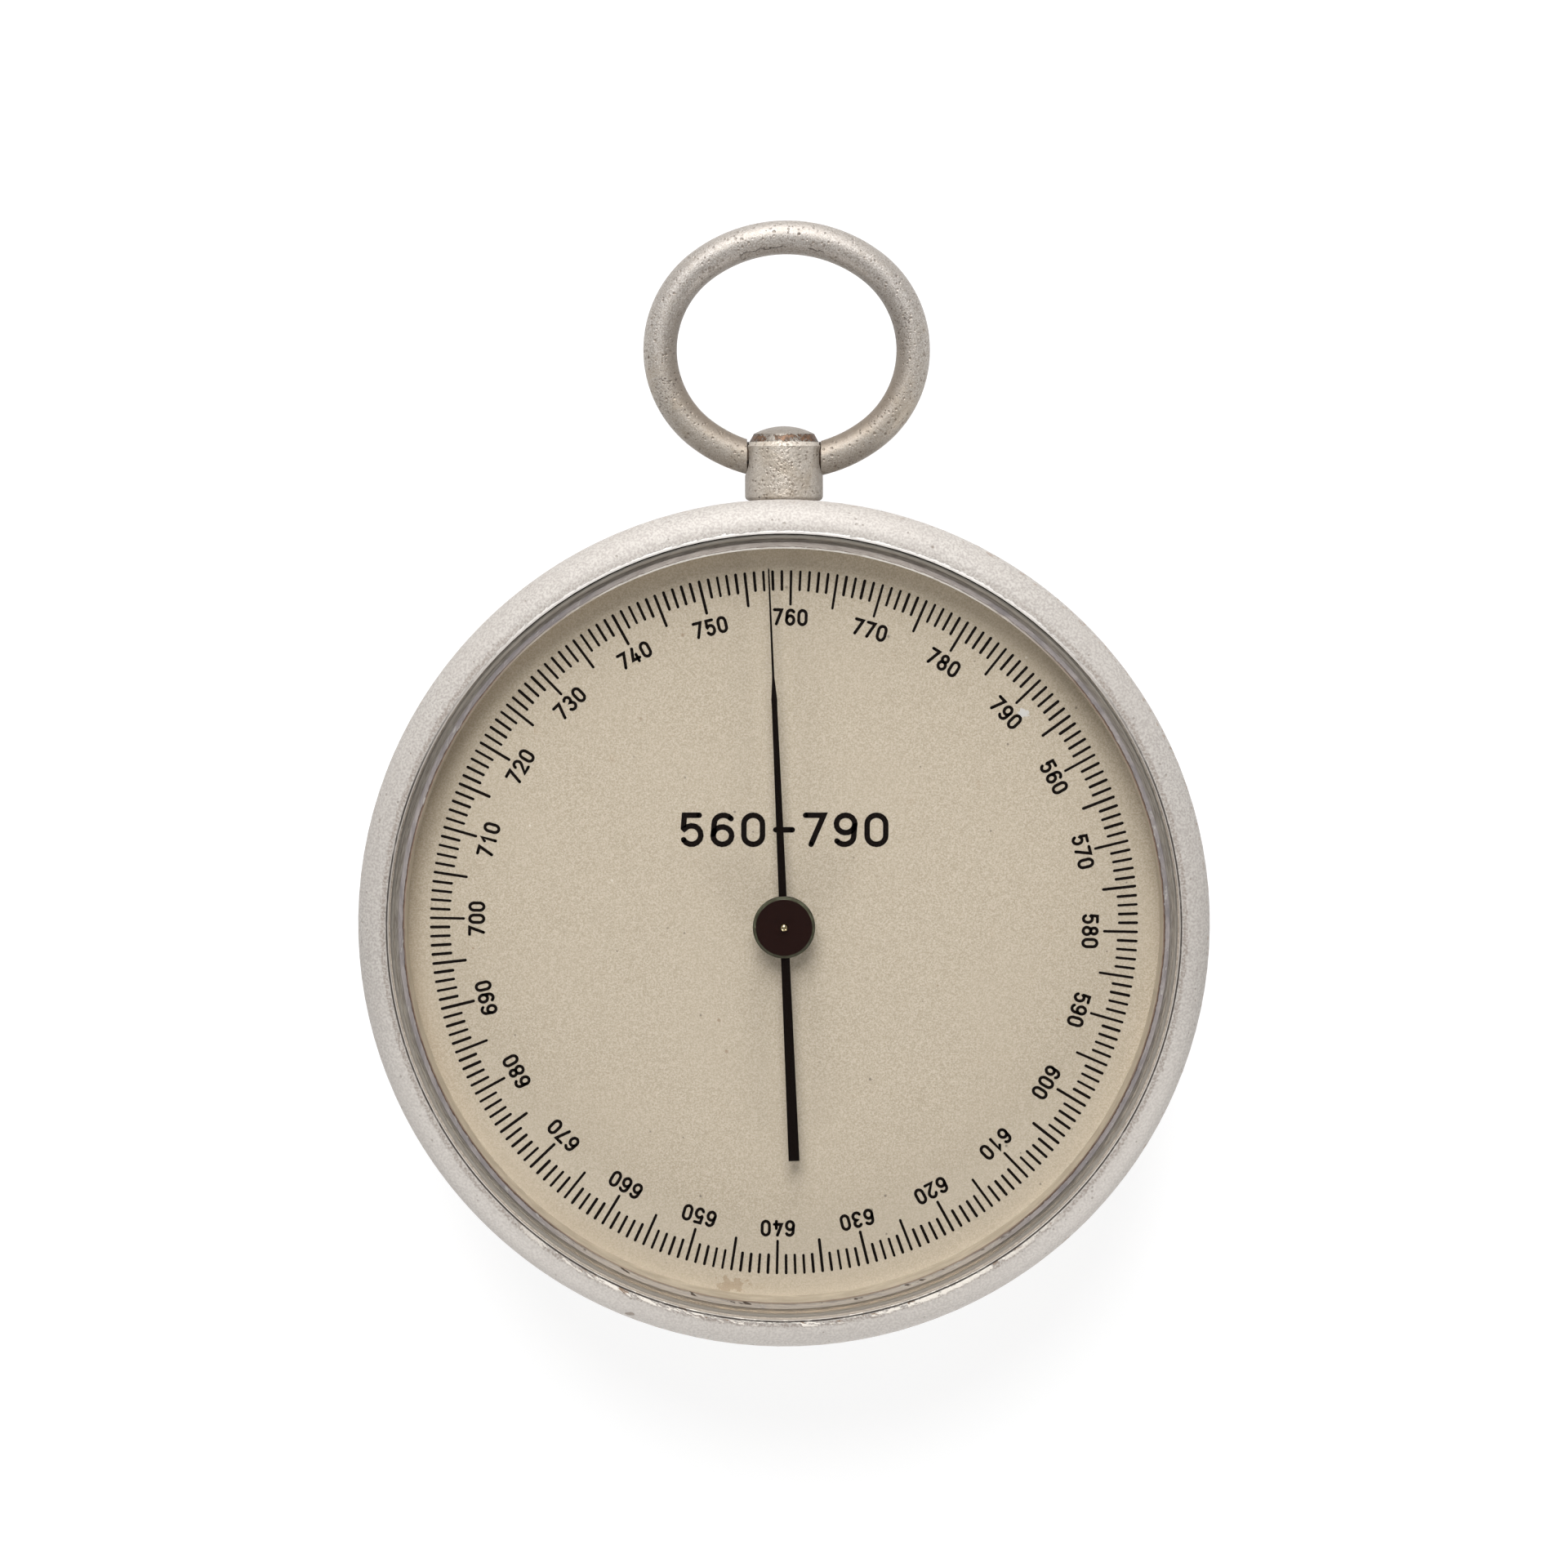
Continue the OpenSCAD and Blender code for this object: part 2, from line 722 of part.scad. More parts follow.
module bridge_pillars() {
    color("goldenrod")
    for (p = pillar_at)
        translate(p)
            difference() {
                union() {
                    translate([0, 0, base_top])
                        cylinder(r = pillar_r, h = pillar_h);
                    translate([0, 0, base_z])
                        cylinder(r = spigot_r, h = base_t + seat);
                }
                translate([0, 0, bridge_z - pillar_screw_l - seat])
                    cylinder(r = small_screw_r + seat, h = pillar_screw_l + cut);
            }
}

module bridge_screws() {
    color("steelblue")
    for (p = pillar_at)
        translate([p[0], p[1], bridge_top])
            slotted_screw(small_head_r, small_head_h, small_screw_r, bridge_t + pillar_screw_l - seat);
}

module arbor_bushes() {
    color("orange") {
        translate([0, 0, base_z + seat])
            tube(bush_r, pivot_r + fit, base_t);
        translate([0, 0, bridge_z])
            tube(bush_r, arbor_journal_r + fit, bridge_t);
    }
}

module sector_bushes() {
    color("orange")
    translate([sector_x, sector_y, 0]) {
        translate([0, 0, base_z + seat])
            tube(bush_r, pivot_r + fit, base_t);
        translate([0, 0, bridge_z])
            tube(bush_r, pivot_r + fit, bridge_t);
    }
}

// An upright bearing plate whose face is at x = 0, with a foot towards +Y
module bracket(hole_r, foot_x) {
    difference() {
        union() {
            translate([0, rock_y - bracket_half, base_top])
                cube([bracket_t, 2 * bracket_half, rock_z - base_top]);
            translate([0, rock_y, rock_z])
                along_x(bracket_top_r, 0, bracket_t);
            translate([foot_x, rock_y + bracket_half - seat, base_top])
                cube([bracket_foot_w, bracket_foot_l, bracket_foot_t]);
            translate([min(0, foot_x), rock_y - bracket_half, base_top])
                cube([bracket_t + abs(min(0, foot_x)), 2 * bracket_half, bracket_foot_t]);
        }
        translate([0, rock_y, rock_z])
            along_x(hole_r, -cut - bracket_foot_w, bracket_t + cut);
        translate([foot_x + bracket_foot_w / 2, bracket_screw_y, base_top - cut])
            cylinder(r = small_screw_r + seat, h = bracket_foot_t + 2 * cut);
    }
}

module left_bracket() {
    color("gold")
    translate([-left_bracket_x - bracket_t, 0, 0])
        bracket(pivot_screw_r + seat, left_foot_x);
}

module right_bracket() {
    color("gold")
    translate([right_bracket_x, 0, 0])
        bracket(journal_r + fit, right_foot_x);
}

module bracket_screws() {
    color("steelblue")
    for (p = bracket_screw_at)
        translate([p[0], p[1], base_top + bracket_foot_t])
            slotted_screw(small_head_r, small_head_h, small_screw_r, bracket_foot_t + base_t - fit);
}

module pivot_screw() {
    color("steelblue")
    translate([-left_bracket_x - bracket_t, rock_y, rock_z]) {
        rotate([0, -90, 0])
            slotted_screw(pivot_head_r, small_head_h, pivot_screw_r, bracket_t);
        along_x(pivot_pin_r, bracket_t / 2, bracket_t + pivot_pin_l);
    }
}

module adjuster_bush() {
    color("orange")
    translate([capsule_x, capsule_y, base_z + seat])
        tube(adjuster_r + bush_wall, adjuster_r + fit, base_t + bush_flange);
}

module adjusting_screw() {
    color("steelblue")
    translate([capsule_x, capsule_y, case_wall - fit])
        mirror([0, 0, 1])
            slotted_screw(adjuster_head_r, case_wall - adjuster_sunk, adjuster_r, foot_z - case_wall);
}

module capsule_foot() {
    color("goldenrod")
    translate([capsule_x, capsule_y, 0]) {
        translate([0, 0, foot_z])
            cylinder(r = foot_r, h = capsule_low_z - diaphragm_rise - foot_z);
        for (side = [-1, 1])
            translate([side * guide_x, 0, base_z + fit])
                cylinder(r = guide_r, h = foot_z - base_z);
    }
}

// Half a capsule: its rim lies on z = 0 and its corrugated face is above
module diaphragm() {
    rotate_extrude()
        difference() {
            union() {
                square([capsule_r, diaphragm_t]);
                square([diaphragm_r, diaphragm_rise]);
                for (i = [1 : ridge_count])
                    translate([diaphragm_r - ridge_r - (i - 0.5) * ridge_pitch, diaphragm_rise - diaphragm_t])
                        circle(r = ridge_r);
            }
            translate([0, -cut])
                square([diaphragm_r - diaphragm_t, diaphragm_rise - diaphragm_t + cut]);
            for (i = [1 : ridge_count])
                translate([diaphragm_r - ridge_r - (i - 0.5) * ridge_pitch, diaphragm_rise - diaphragm_t])
                    circle(r = ridge_r - diaphragm_t);
        }
}

// A diaphragm at its place on the capsules' axis
module diaphragm_at(z, down) {
    color("khaki")
    translate([capsule_x, capsule_y, z])
        mirror([0, 0, down ? 1 : 0])
            diaphragm();
}

module lower_capsule_bottom() {
    diaphragm_at(capsule_low_z, true);
}

module lower_capsule_top() {
    diaphragm_at(capsule_low_z, false);
}

module upper_capsule_bottom() {
    diaphragm_at(capsule_high_z, true);
}

module upper_capsule_top() {
    diaphragm_at(capsule_high_z, false);
}

module capsule_link() {
    color("goldenrod")
    translate([capsule_x, capsule_y, capsule_low_z + diaphragm_rise])
        cylinder(r = link_r, h = capsule_high_z - capsule_low_z - 2 * diaphragm_rise);
}

module lifting_post() {
    fork_z = lift_z - fork_depth;
    fork_h = fork_depth + fork_above;
    fork_l = short_arm_t + 2 * cheek_gap + 2 * cheek_t;
    color("goldenrod")
    translate([capsule_x, capsule_y, 0])
        difference() {
            union() {
                translate([0, 0, capsule_top_z])
                    cylinder(r = post_foot_r, h = fork_z - capsule_top_z);
                translate([-fork_l / 2, -fork_w / 2, capsule_top_z + post_foot_h])
                    cube([fork_l, fork_w, fork_z + fork_h - capsule_top_z - post_foot_h]);
            }
            translate([-fork_l / 2 + cheek_t, -fork_w, fork_z])
                cube([fork_l - 2 * cheek_t, 2 * fork_w, fork_h + cut]);
            translate([0, 0, lift_z])
                along_x(lift_pin_r + seat, -fork_l, fork_l);
        }
}

module lifting_pin() {
    pin_half = short_arm_t / 2 + cheek_gap + cheek_t;
    color("steelblue")
    translate([capsule_x, capsule_y, lift_z])
        along_x(lift_pin_r, -pin_half, pin_half);
}

module rocking_shaft() {
    color("slategray")
    on_rock()
        difference() {
            union() {
                along_x(rock_r, rock_left, rock_right);
                along_x(journal_r, rock_right - cut, drive_x + drive_arm_t / 2);
            }
            along_x(pivot_pin_r + fit, rock_left - cut, rock_left + pivot_pin_l);
        }
}

module short_arm() {
    arm_l = short_arm_l + short_arm_end;
    slot_half = lift_pin_r + lift_play;
    slot_l = arm_l - rock_r - short_hub_wall;
    color("gold")
    on_rock()
        translate([capsule_x, 0, 0])
            difference() {
                union() {
                    along_x(rock_r + short_hub_wall, -short_arm_t / 2, short_arm_t / 2);
                    translate([-short_arm_t / 2, -arm_l, -short_arm_half])
                        cube([short_arm_t, arm_l, 2 * short_arm_half]);
                }
                along_x(rock_r + seat, -short_arm_t, short_arm_t);
                translate([-short_arm_t, -arm_l - cut, -slot_half])
                    cube([2 * short_arm_t, slot_l + cut, 2 * slot_half]);
                cylinder(r = clamp_r + seat, h = rock_r + short_hub_wall + cut);
            }
}

module short_arm_screw() {
    color("steelblue")
    on_rock()
        translate([capsule_x, 0, rock_r + short_hub_wall])
            slotted_screw(clamp_head_r, clamp_head_h, clamp_r, short_hub_wall - seat);
}

module drive_arm() {
    arm_h = sector_z - rock_z - drive_arm_below;
    color("gold")
    on_rock()
        translate([drive_x, 0, 0])
            difference() {
                union() {
                    along_x(journal_r + drive_hub_wall, -drive_arm_t / 2, drive_arm_t / 2);
                    translate([-drive_arm_t / 2, -drive_arm_w / 2, 0])
                        cube([drive_arm_t, drive_arm_w, arm_h]);
                    cylinder(r = drive_pin_r, h = drive_l + sector_t / 2 + drive_pin_above);
                }
                along_x(journal_r + seat, -drive_arm_t, drive_arm_t);
            }
}

// The sector's outline about its axis, with its middle tooth at angle 0
module sector_outline() {
    half_span = (sector_teeth - 1) / 2;
    difference() {
        union() {
            polygon(concat([[0, 0]],
                [for (i = [-half_span : half_span])
                    each tooth(sector_pitch_r, sector_full, sector_tip, sector_root, i * sector_step)]));
            circle(r = sector_hub_r);
        }
        difference() {
            polygon([[0, 0], polar(sector_pitch_r, -sector_window), polar(sector_pitch_r, sector_window)]);
            circle(r = sector_hub_r + sector_inner);
            difference() {
                circle(r = 2 * sector_pitch_r);
                circle(r = sector_pitch_r - sector_rim);
            }
        }
    }
}

module sector_gear() {
    slot_half = drive_pin_r + slot_play;
    tail_end = sector_tail + slot_outer;
    tail_half = slot_half + slot_wall;
    color("gold")
    translate([sector_x, sector_y, sector_z])
        difference() {
            linear_extrude(sector_t)
                union() {
                    rotate(sector_to_pinion + sector_rest)
                        sector_outline();
                    rotate(180 + sector_rest)
                        translate([0, -tail_half])
                            square([tail_end, 2 * tail_half]);
                }
            translate([0, 0, -cut])
                cylinder(r = sector_arbor_r + seat, h = sector_t + 2 * cut);
            rotate(180 + sector_rest)
                translate([sector_tail - slot_inner, -slot_half, -cut])
                    cube([tail_end, 2 * slot_half, sector_t + 2 * cut]);
        }
}

module sector_collet() {
    color("goldenrod")
    translate([sector_x, sector_y, sector_z - sector_collet_h])
        tube(sector_arbor_r + sector_collet_wall, sector_arbor_r + seat, sector_collet_h);
}

module sector_arbor() {
    color("slategray")
    translate([sector_x, sector_y, 0]) {
        translate([0, 0, base_top + end_play])
            cylinder(r = sector_arbor_r, h = bridge_z - base_top - 2 * end_play);
        translate([0, 0, base_z + end_play])
            cylinder(r = pivot_r, h = bridge_top - base_z - 2 * end_play);
    }
}

module pinion() {
    color("slategray")
    translate([0, 0, pinion_z])
        difference() {
            linear_extrude(pinion_top - pinion_z)
                rotate(pinion_phase)
                    polygon([for (i = [0 : leaves - 1])
                        each tooth(pinion_pitch_r, leaves, pinion_tip, pinion_root, i * 360 / leaves)]);
            translate([0, 0, -cut])
                cylinder(r = arbor_journal_r + seat, h = pinion_top - pinion_z + 2 * cut);
        }
}

module hairspring() {
    steps = hair_turns * turn_steps;
    color("royalblue")
    translate([0, 0, hair_z])
        linear_extrude(hair_h)
            polygon(concat(spiral_edge(-1, 0, steps, 1, steps), spiral_edge(1, steps, 0, -1, steps)));
    echo(hairspring_gap = (hair_out_r - hair_in_r) / hair_turns - hair_t);
}

module hairspring_stud() {
    color("goldenrod")
    rotate(hair_stud_angle)
        translate([hair_out_r + hair_post_r, 0, hair_z - end_play])
            difference() {
                cylinder(r = hair_post_r, h = bridge_top - hair_z + end_play);
                translate([-2 * hair_post_r + hair_t / 2 + fit, -cut, -cut])
                    cube([hair_post_r, 2 * cut, hair_h + 2 * end_play + cut]);
            }
}

module hairspring_collet() {
    color("goldenrod")
    translate([0, 0, collet_z])
        tube(collet_r, arbor_r + seat, collet_h);
}

module pointer_arbor() {
    color("slategray") {
        translate([0, 0, base_z + end_play])
            cylinder(r = pivot_r, h = base_t);
        translate([0, 0, base_top + end_play])
            cylinder(r = arbor_r, h = pinion_z - base_top - end_play);
        translate([0, 0, pinion_z - cut])
            cylinder(r = arbor_journal_r, h = pointer_z - pinion_z + cut);
        translate([0, 0, pointer_z - cut])
            cylinder(r = arbor_top_r, h = arbor_dome_z - pointer_z + cut);
        translate([0, 0, arbor_dome_z])
            sphere(r = arbor_top_r);
    }
}

// Right half of the pointer's outline, from the middle of its tail's end to its tip
function pointer_side() = [[tail_w / 2, -tail_l], [pointer_w / 2, 0], [pointer_neck_w / 2, swell_at - swell_before],
    [(pointer_neck_w + swell_w) / 2, swell_at], [needle_w / 2, swell_at + swell_after],
    [needle_w / 3, pointer_l - needle_w], [0, pointer_l]];

module pointer() {
    color("#241d1a")
    translate([0, 0, pointer_z])
        rotate(pointer_rest)
            difference() {
                union() {
                    linear_extrude(pointer_t)
                        for (side = [0, 1])
                            mirror([side, 0])
                                polygon(concat([[-seat, -tail_l]], pointer_side(), [[-seat, pointer_l]]));
                    cylinder(r = pointer_eye_r, h = pointer_t);
                }
                translate([0, 0, -cut])
                    cylinder(r = arbor_top_r + seat, h = pointer_t + 2 * cut);
            }
}

module pointer_hub() {
    color("#2a2320")
    translate([0, 0, hub_z])
        difference() {
            union() {
                cylinder(r = hub_r, h = hub_h - hub_chamfer);
                translate([0, 0, hub_h - hub_chamfer])
                    cylinder(r1 = hub_r, r2 = hub_r - hub_chamfer, h = hub_chamfer);
            }
            translate([0, 0, -cut])
                cylinder(r = arbor_top_r + seat, h = hub_h + 2 * cut);
        }
}

module pendant() {
    dome_base_r = pendant_r - pendant_flat_d - pendant_chamfer_w;
    dome_r = (dome_base_r * dome_base_r + pendant_dome_h * pendant_dome_h) / (2 * pendant_dome_h);
    neck = pendant_l + pendant_chamfer_l;
    color("silver")
    on_pendant(seat_y)
        difference() {
            union() {
                rotate_extrude() {
                    square([pendant_r - pendant_foot_round, pendant_foot_round + seat]);
                    translate([pendant_r - pendant_foot_round, pendant_foot_round])
                        intersection() {
                            circle(r = pendant_foot_round);
                            translate([0, -pendant_r])
                                square([pendant_r, pendant_r + seat]);
                        }
                    translate([0, pendant_foot_round])
                        polygon([[0, 0], [pendant_r, 0], [pendant_r, pendant_l - pendant_foot_round - pendant_flat_d],
                            [pendant_r - pendant_flat_d, pendant_l - pendant_foot_round],
                            [dome_base_r, neck - pendant_foot_round], [0, neck - pendant_foot_round]]);
                }
                intersection() {
                    translate([0, 0, neck + pendant_dome_h - dome_r])
                        sphere(r = dome_r);
                    translate([0, 0, neck - seat])
                        cylinder(r = pendant_r, h = pendant_dome_h + cut);
                }
                translate([0, 0, -boss_h - case_wall - pad_h - stud_in])
                    cylinder(r = stud_r, h = boss_h + case_wall + pad_h + stud_in + cut);
            }
            translate([0, 0, hinge_up]) {
                along_x(bow_pin_r + fit, -pendant_r - cut, pendant_r + cut);
                along_x(side_face_r, -pendant_r - cut, -flat_x);
                along_x(side_face_r, flat_x, pendant_r + cut);
            }
        }
}

module pendant_washer() {
    color("silver")
    on_pendant(pad_y - washer_t)
        tube(washer_r, stud_r + seat, washer_t);
}

module pendant_nut() {
    color("silver")
    on_pendant(pad_y - washer_t - nut_h)
        difference() {
            cylinder(r = nut_r, h = nut_h, $fn = 6);
            translate([0, 0, -cut])
                cylinder(r = stud_r + seat, h = nut_h + 2 * cut);
        }
}

// A curved stretch of the bow's wire about z, inside the wedge from the centre to two points
module bow_stretch(r, first, last) {
    reach = 4 * bow_side_r / norm(first);
    intersection() {
        rotate_extrude()
            translate([r, 0])
                circle(r = bow_wire_r);
        translate([0, 0, -bow_wire])
            linear_extrude(2 * bow_wire)
                polygon([[0, 0], reach * first, reach * (first + last), reach * last]);
    }
}

module bow() {
    color("silver")
    translate([0, 0, pendant_z]) {
        difference() {
            translate([bow_shift, bow_y, 0])
                for (side = [-1, 1]) {
                    translate([side * bow_side_x, 0, 0])
                        bow_stretch(bow_side_r, [side * 3, -4], [side * 3, 4]);
                    translate([0, -side * bow_top_y, 0])
                        bow_stretch(bow_top_r, [3, side * 4], [-3, side * 4]);
                }
            translate([-bow_end_x, hinge_y - 3 * bow_wire_r, -2 * bow_wire_r])
                cube([2 * bow_end_x, 6 * bow_wire_r, 4 * bow_wire_r]);
        }
        translate([0, hinge_y, 0]) {
            along_x(bow_pin_r, -bow_end_x - bow_wire_r / 2, -bow_end_x + bow_pin_l);
            along_x(bow_pin_r, bow_end_x - bow_pin_l, bow_end_x + bow_wire_r / 2);
        }
    }
}

case_body();
bezel();
crystal();
dial_ring();
dial_plate();
dial_feet();
dial_pillars();
dial_foot_screws();
base_plate();
base_screws();
bridge_plate();
bridge_pillars();
bridge_screws();
arbor_bushes();
sector_bushes();
left_bracket();
right_bracket();
bracket_screws();
pivot_screw();
adjuster_bush();
adjusting_screw();
capsule_foot();
lower_capsule_bottom();
lower_capsule_top();
capsule_link();
upper_capsule_bottom();
upper_capsule_top();
lifting_post();
lifting_pin();
rocking_shaft();
short_arm();
short_arm_screw();
drive_arm();
sector_gear();
sector_collet();
sector_arbor();
pinion();
hairspring();
hairspring_stud();
hairspring_collet();
pointer_arbor();
pointer();
pointer_hub();
pendant();
pendant_washer();
pendant_nut();
bow();
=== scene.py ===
"""Looks of the pocket barometer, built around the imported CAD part."""
import json
import math
import random

import bmesh
import bpy
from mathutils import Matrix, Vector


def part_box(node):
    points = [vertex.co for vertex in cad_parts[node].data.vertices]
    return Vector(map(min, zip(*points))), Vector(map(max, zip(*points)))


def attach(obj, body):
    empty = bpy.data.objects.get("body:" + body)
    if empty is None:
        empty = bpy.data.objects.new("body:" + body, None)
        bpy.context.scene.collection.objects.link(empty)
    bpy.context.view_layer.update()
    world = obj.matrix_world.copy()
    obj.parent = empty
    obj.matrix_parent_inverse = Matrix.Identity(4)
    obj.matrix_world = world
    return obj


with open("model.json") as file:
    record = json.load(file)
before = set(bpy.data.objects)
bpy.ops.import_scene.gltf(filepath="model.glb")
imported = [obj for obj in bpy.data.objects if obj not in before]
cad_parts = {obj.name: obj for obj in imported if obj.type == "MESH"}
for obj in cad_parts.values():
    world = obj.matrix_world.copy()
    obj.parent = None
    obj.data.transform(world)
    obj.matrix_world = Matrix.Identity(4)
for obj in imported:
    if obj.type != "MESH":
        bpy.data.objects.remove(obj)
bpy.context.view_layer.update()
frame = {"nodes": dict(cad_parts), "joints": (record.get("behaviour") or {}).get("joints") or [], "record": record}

MM = 0.001
rng = random.Random(7)


def top_of(name, axis):
    """Largest coordinate of a CAD node along an axis, in millimetres."""
    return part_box(name)[1][axis] / MM


# Places that the looks refer to, in millimetres: the opening in the bezel, the ring's inner edge,
# the hub's rim and the pendant's end
BEZEL_TOP = top_of("bezel", 2)
LIP_R = 36.85
RING_TOP = top_of("dial_ring", 2)
RING_R = 35.5
HUB_R = top_of("pointer_hub", 0)
PENDANT_TOP = top_of("pendant", 1)

# The bow: how far its top is over its middle, its middle, half its width inside, and how much wider
# than high it is there
BOW_RISE = 12.249
BOW_X = (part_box("bow")[0][0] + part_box("bow")[1][0]) / 2 / MM
BOW_Y = top_of("bow", 1) - BOW_RISE
BOW_INNER = 10.4
BOW_SQUEEZE = 1.14

# Camera, fitted to the ticks of the photographed scale
CAMERA_AT = (0.0, 38.74 * MM, 355.1 * MM)
CAMERA_TILT = -4.33
FOCAL_SHARE = 4384 / 1920
SENSOR = 36.0

camera_data = bpy.data.cameras.new("camera")
camera_data.sensor_width = SENSOR
camera_data.lens = SENSOR * FOCAL_SHARE
camera_data.clip_start = 0.01
camera_data.clip_end = 20
camera = bpy.data.objects.new("camera", camera_data)
camera.location = CAMERA_AT
camera.rotation_euler = (math.radians(CAMERA_TILT), 0, 0)
bpy.context.scene.collection.objects.link(camera)
bpy.context.scene.camera = camera
bpy.context.scene.view_settings.view_transform = "Standard"


def srgb(text):
    """Linear RGBA of a colour written as rrggbb."""
    out = []
    for i in (0, 2, 4):
        c = int(text[i:i + 2], 16) / 255
        out.append(c / 12.92 if c <= 0.04045 else ((c + 0.055) / 1.055) ** 2.4)
    return (*out, 1.0)


class Nodes:
    """Short ways to add nodes to a tree."""

    def __init__(self, tree):
        self.tree = tree

    def node(self, kind):
        return self.tree.nodes.new("ShaderNode" + kind)

    def put(self, socket, value):
        """Links another socket to this one, or sets it to a number or a colour."""
        if isinstance(value, bpy.types.NodeSocket):
            self.tree.links.new(value, socket)
        else:
            socket.default_value = value

    def math(self, operation, *inputs):
        node = self.node("Math")
        node.operation = operation
        for socket, value in zip(node.inputs, inputs):
            self.put(socket, value)
        return node.outputs[0]

    def chain(self, operation, first, others):
        for value in others:
            first = self.math(operation, first, value)
        return first

    def times(self, first, *others):
        return self.chain("MULTIPLY", first, others)

    def plus(self, first, *others):
        return self.chain("ADD", first, others)

    def most(self, first, *others):
        return self.chain("MAXIMUM", first, others)

    def minus(self, a, b):
        return self.math("SUBTRACT", a, b)

    def band(self, value, low, high, start=0.0, end=1.0, curve="SMOOTHSTEP"):
        """Value carried from low..high to start..end, smoothly unless the curve says otherwise."""
        node = self.node("MapRange")
        node.interpolation_type = curve
        self.put(node.inputs["Value"], value)
        for key, number in (("From Min", low), ("From Max", high), ("To Min", start), ("To Max", end)):
            node.inputs[key].default_value = number
        return node.outputs["Result"]

    def window(self, value, low, high, soft):
        """1 between low and high, with soft edges."""
        rise = self.band(value, low - soft, low + soft)
        return self.times(rise, self.band(value, high - soft, high + soft, 1.0, 0.0))


class Graph(Nodes):
    """A material and ways to paint with it. Places and lengths in its nodes are in millimetres."""

    def __init__(self, name):
        self.material = bpy.data.materials.new(name)
        self.material.use_nodes = True
        super().__init__(self.material.node_tree)
        self.shader = self.tree.nodes["Principled BSDF"]
        scaled = self.node("VectorMath")
        scaled.operation = "SCALE"
        self.put(scaled.inputs[0], self.node("TexCoord").outputs["Object"])
        scaled.inputs["Scale"].default_value = 1 / MM
        self.position = scaled.outputs[0]
        split = self.node("SeparateXYZ")
        self.put(split.inputs[0], self.position)
        self.x, self.y, self.z = split.outputs

    def moved(self, shift=(0, 0, 0), stretch=(1, 1, 1)):
        node = self.node("Mapping")
        self.put(node.inputs["Vector"], self.position)
        node.inputs["Location"].default_value = shift
        node.inputs["Scale"].default_value = stretch
        return node.outputs[0]

    def radius(self):
        """Distance from the dial's axis."""
        return self.math("SQRT", self.plus(self.times(self.x, self.x), self.times(self.y, self.y)))

    def lean(self):
        """1 on the side of the bow, 0 at the left and right, -1 on the far side."""
        return self.math("DIVIDE", self.y, self.radius())

    def turned(self, stretch=1.0):
        """Position along circles round Z: arc length, radius and height."""
        radius = self.radius()
        node = self.node("CombineXYZ")
        arc = self.times(self.math("ARCTAN2", self.y, self.x), radius)
        self.put(node.inputs[0], self.times(arc, stretch))
        self.put(node.inputs[1], radius)
        self.put(node.inputs[2], self.z)
        return node.outputs[0]

    def noise(self, size, detail=2.0, rough=0.5, at=None, distortion=0.0):
        """Noise of about the given feature size."""
        node = self.node("TexNoise")
        self.put(node.inputs["Vector"], self.position if at is None else at)
        node.inputs["Scale"].default_value = 1 / size
        node.inputs["Detail"].default_value = detail
        node.inputs["Roughness"].default_value = rough
        node.inputs["Distortion"].default_value = distortion
        return node.outputs["Fac"]

    def frayed(self, value, noise, amount):
        """Value moved up and down by a noise, so that its bands get ragged edges."""
        return self.plus(value, self.times(self.minus(noise, 0.5), amount))

    def mix(self, share, a, b):
        node = self.node("Mix")
        node.data_type = "RGBA"
        self.put(node.inputs[0], share)
        for socket, tone in ((node.inputs[6], a), (node.inputs[7], b)):
            self.put(socket, srgb(tone) if isinstance(tone, str) else tone)
        return node.outputs[2]

    def tones(self, value, low, high, a, b):
        """Colour that runs from a to b while the value runs from low to high."""
        return self.mix(self.band(value, low, high), a, b)

    def over(self, color, tone, *shares):
        """Colour with a tone laid over it, as strongly as the product of the shares."""
        return self.mix(self.times(*shares), color, tone)

    def bump(self, height, distance, strength):
        node = self.node("Bump")
        node.inputs["Strength"].default_value = strength
        node.inputs["Distance"].default_value = distance * MM
        self.put(node.inputs["Height"], height)
        return node.outputs[0]

    def finish(self, color, roughness, metallic, normal, specular=0.5):
        self.put(self.shader.inputs["Base Color"], color)
        self.put(self.shader.inputs["Roughness"], roughness)
        self.put(self.shader.inputs["Metallic"], metallic)
        self.put(self.shader.inputs["Normal"], normal)
        self.shader.inputs["Specular IOR Level"].default_value = specular
        return self.material


def pits(g, spacing, size, share, at=None):
    """Scattered round pits: 1 in a pit. Only the given share of the cells has one."""
    cells = g.node("TexVoronoi")
    g.put(cells.inputs["Vector"], g.position if at is None else at)
    cells.inputs["Scale"].default_value = 1 / spacing
    chance = g.node("SeparateColor")
    g.put(chance.inputs[0], cells.outputs["Color"])
    chosen = g.math("LESS_THAN", chance.outputs[0], share)
    wide = g.times(g.plus(chance.outputs[1], 0.35), size / spacing)
    inside = g.band(g.math("DIVIDE", cells.outputs["Distance"], wide), 0.35, 1.0, 1.0, 0.0)
    return g.times(inside, chosen)


def spot(g, place, wide, high, rough, ragged=0.5):
    """Blot round a place in the plane, 1 inside, with an edge frayed by the noise given."""
    dx = g.math("DIVIDE", g.minus(g.x, place[0]), wide)
    dy = g.math("DIVIDE", g.minus(g.y, place[1]), high)
    away = g.math("SQRT", g.plus(g.times(dx, dx), g.times(dy, dy)))
    return g.band(g.frayed(away, rough, 4 * ragged), 0.8, 1.05, 1.0, 0.0)


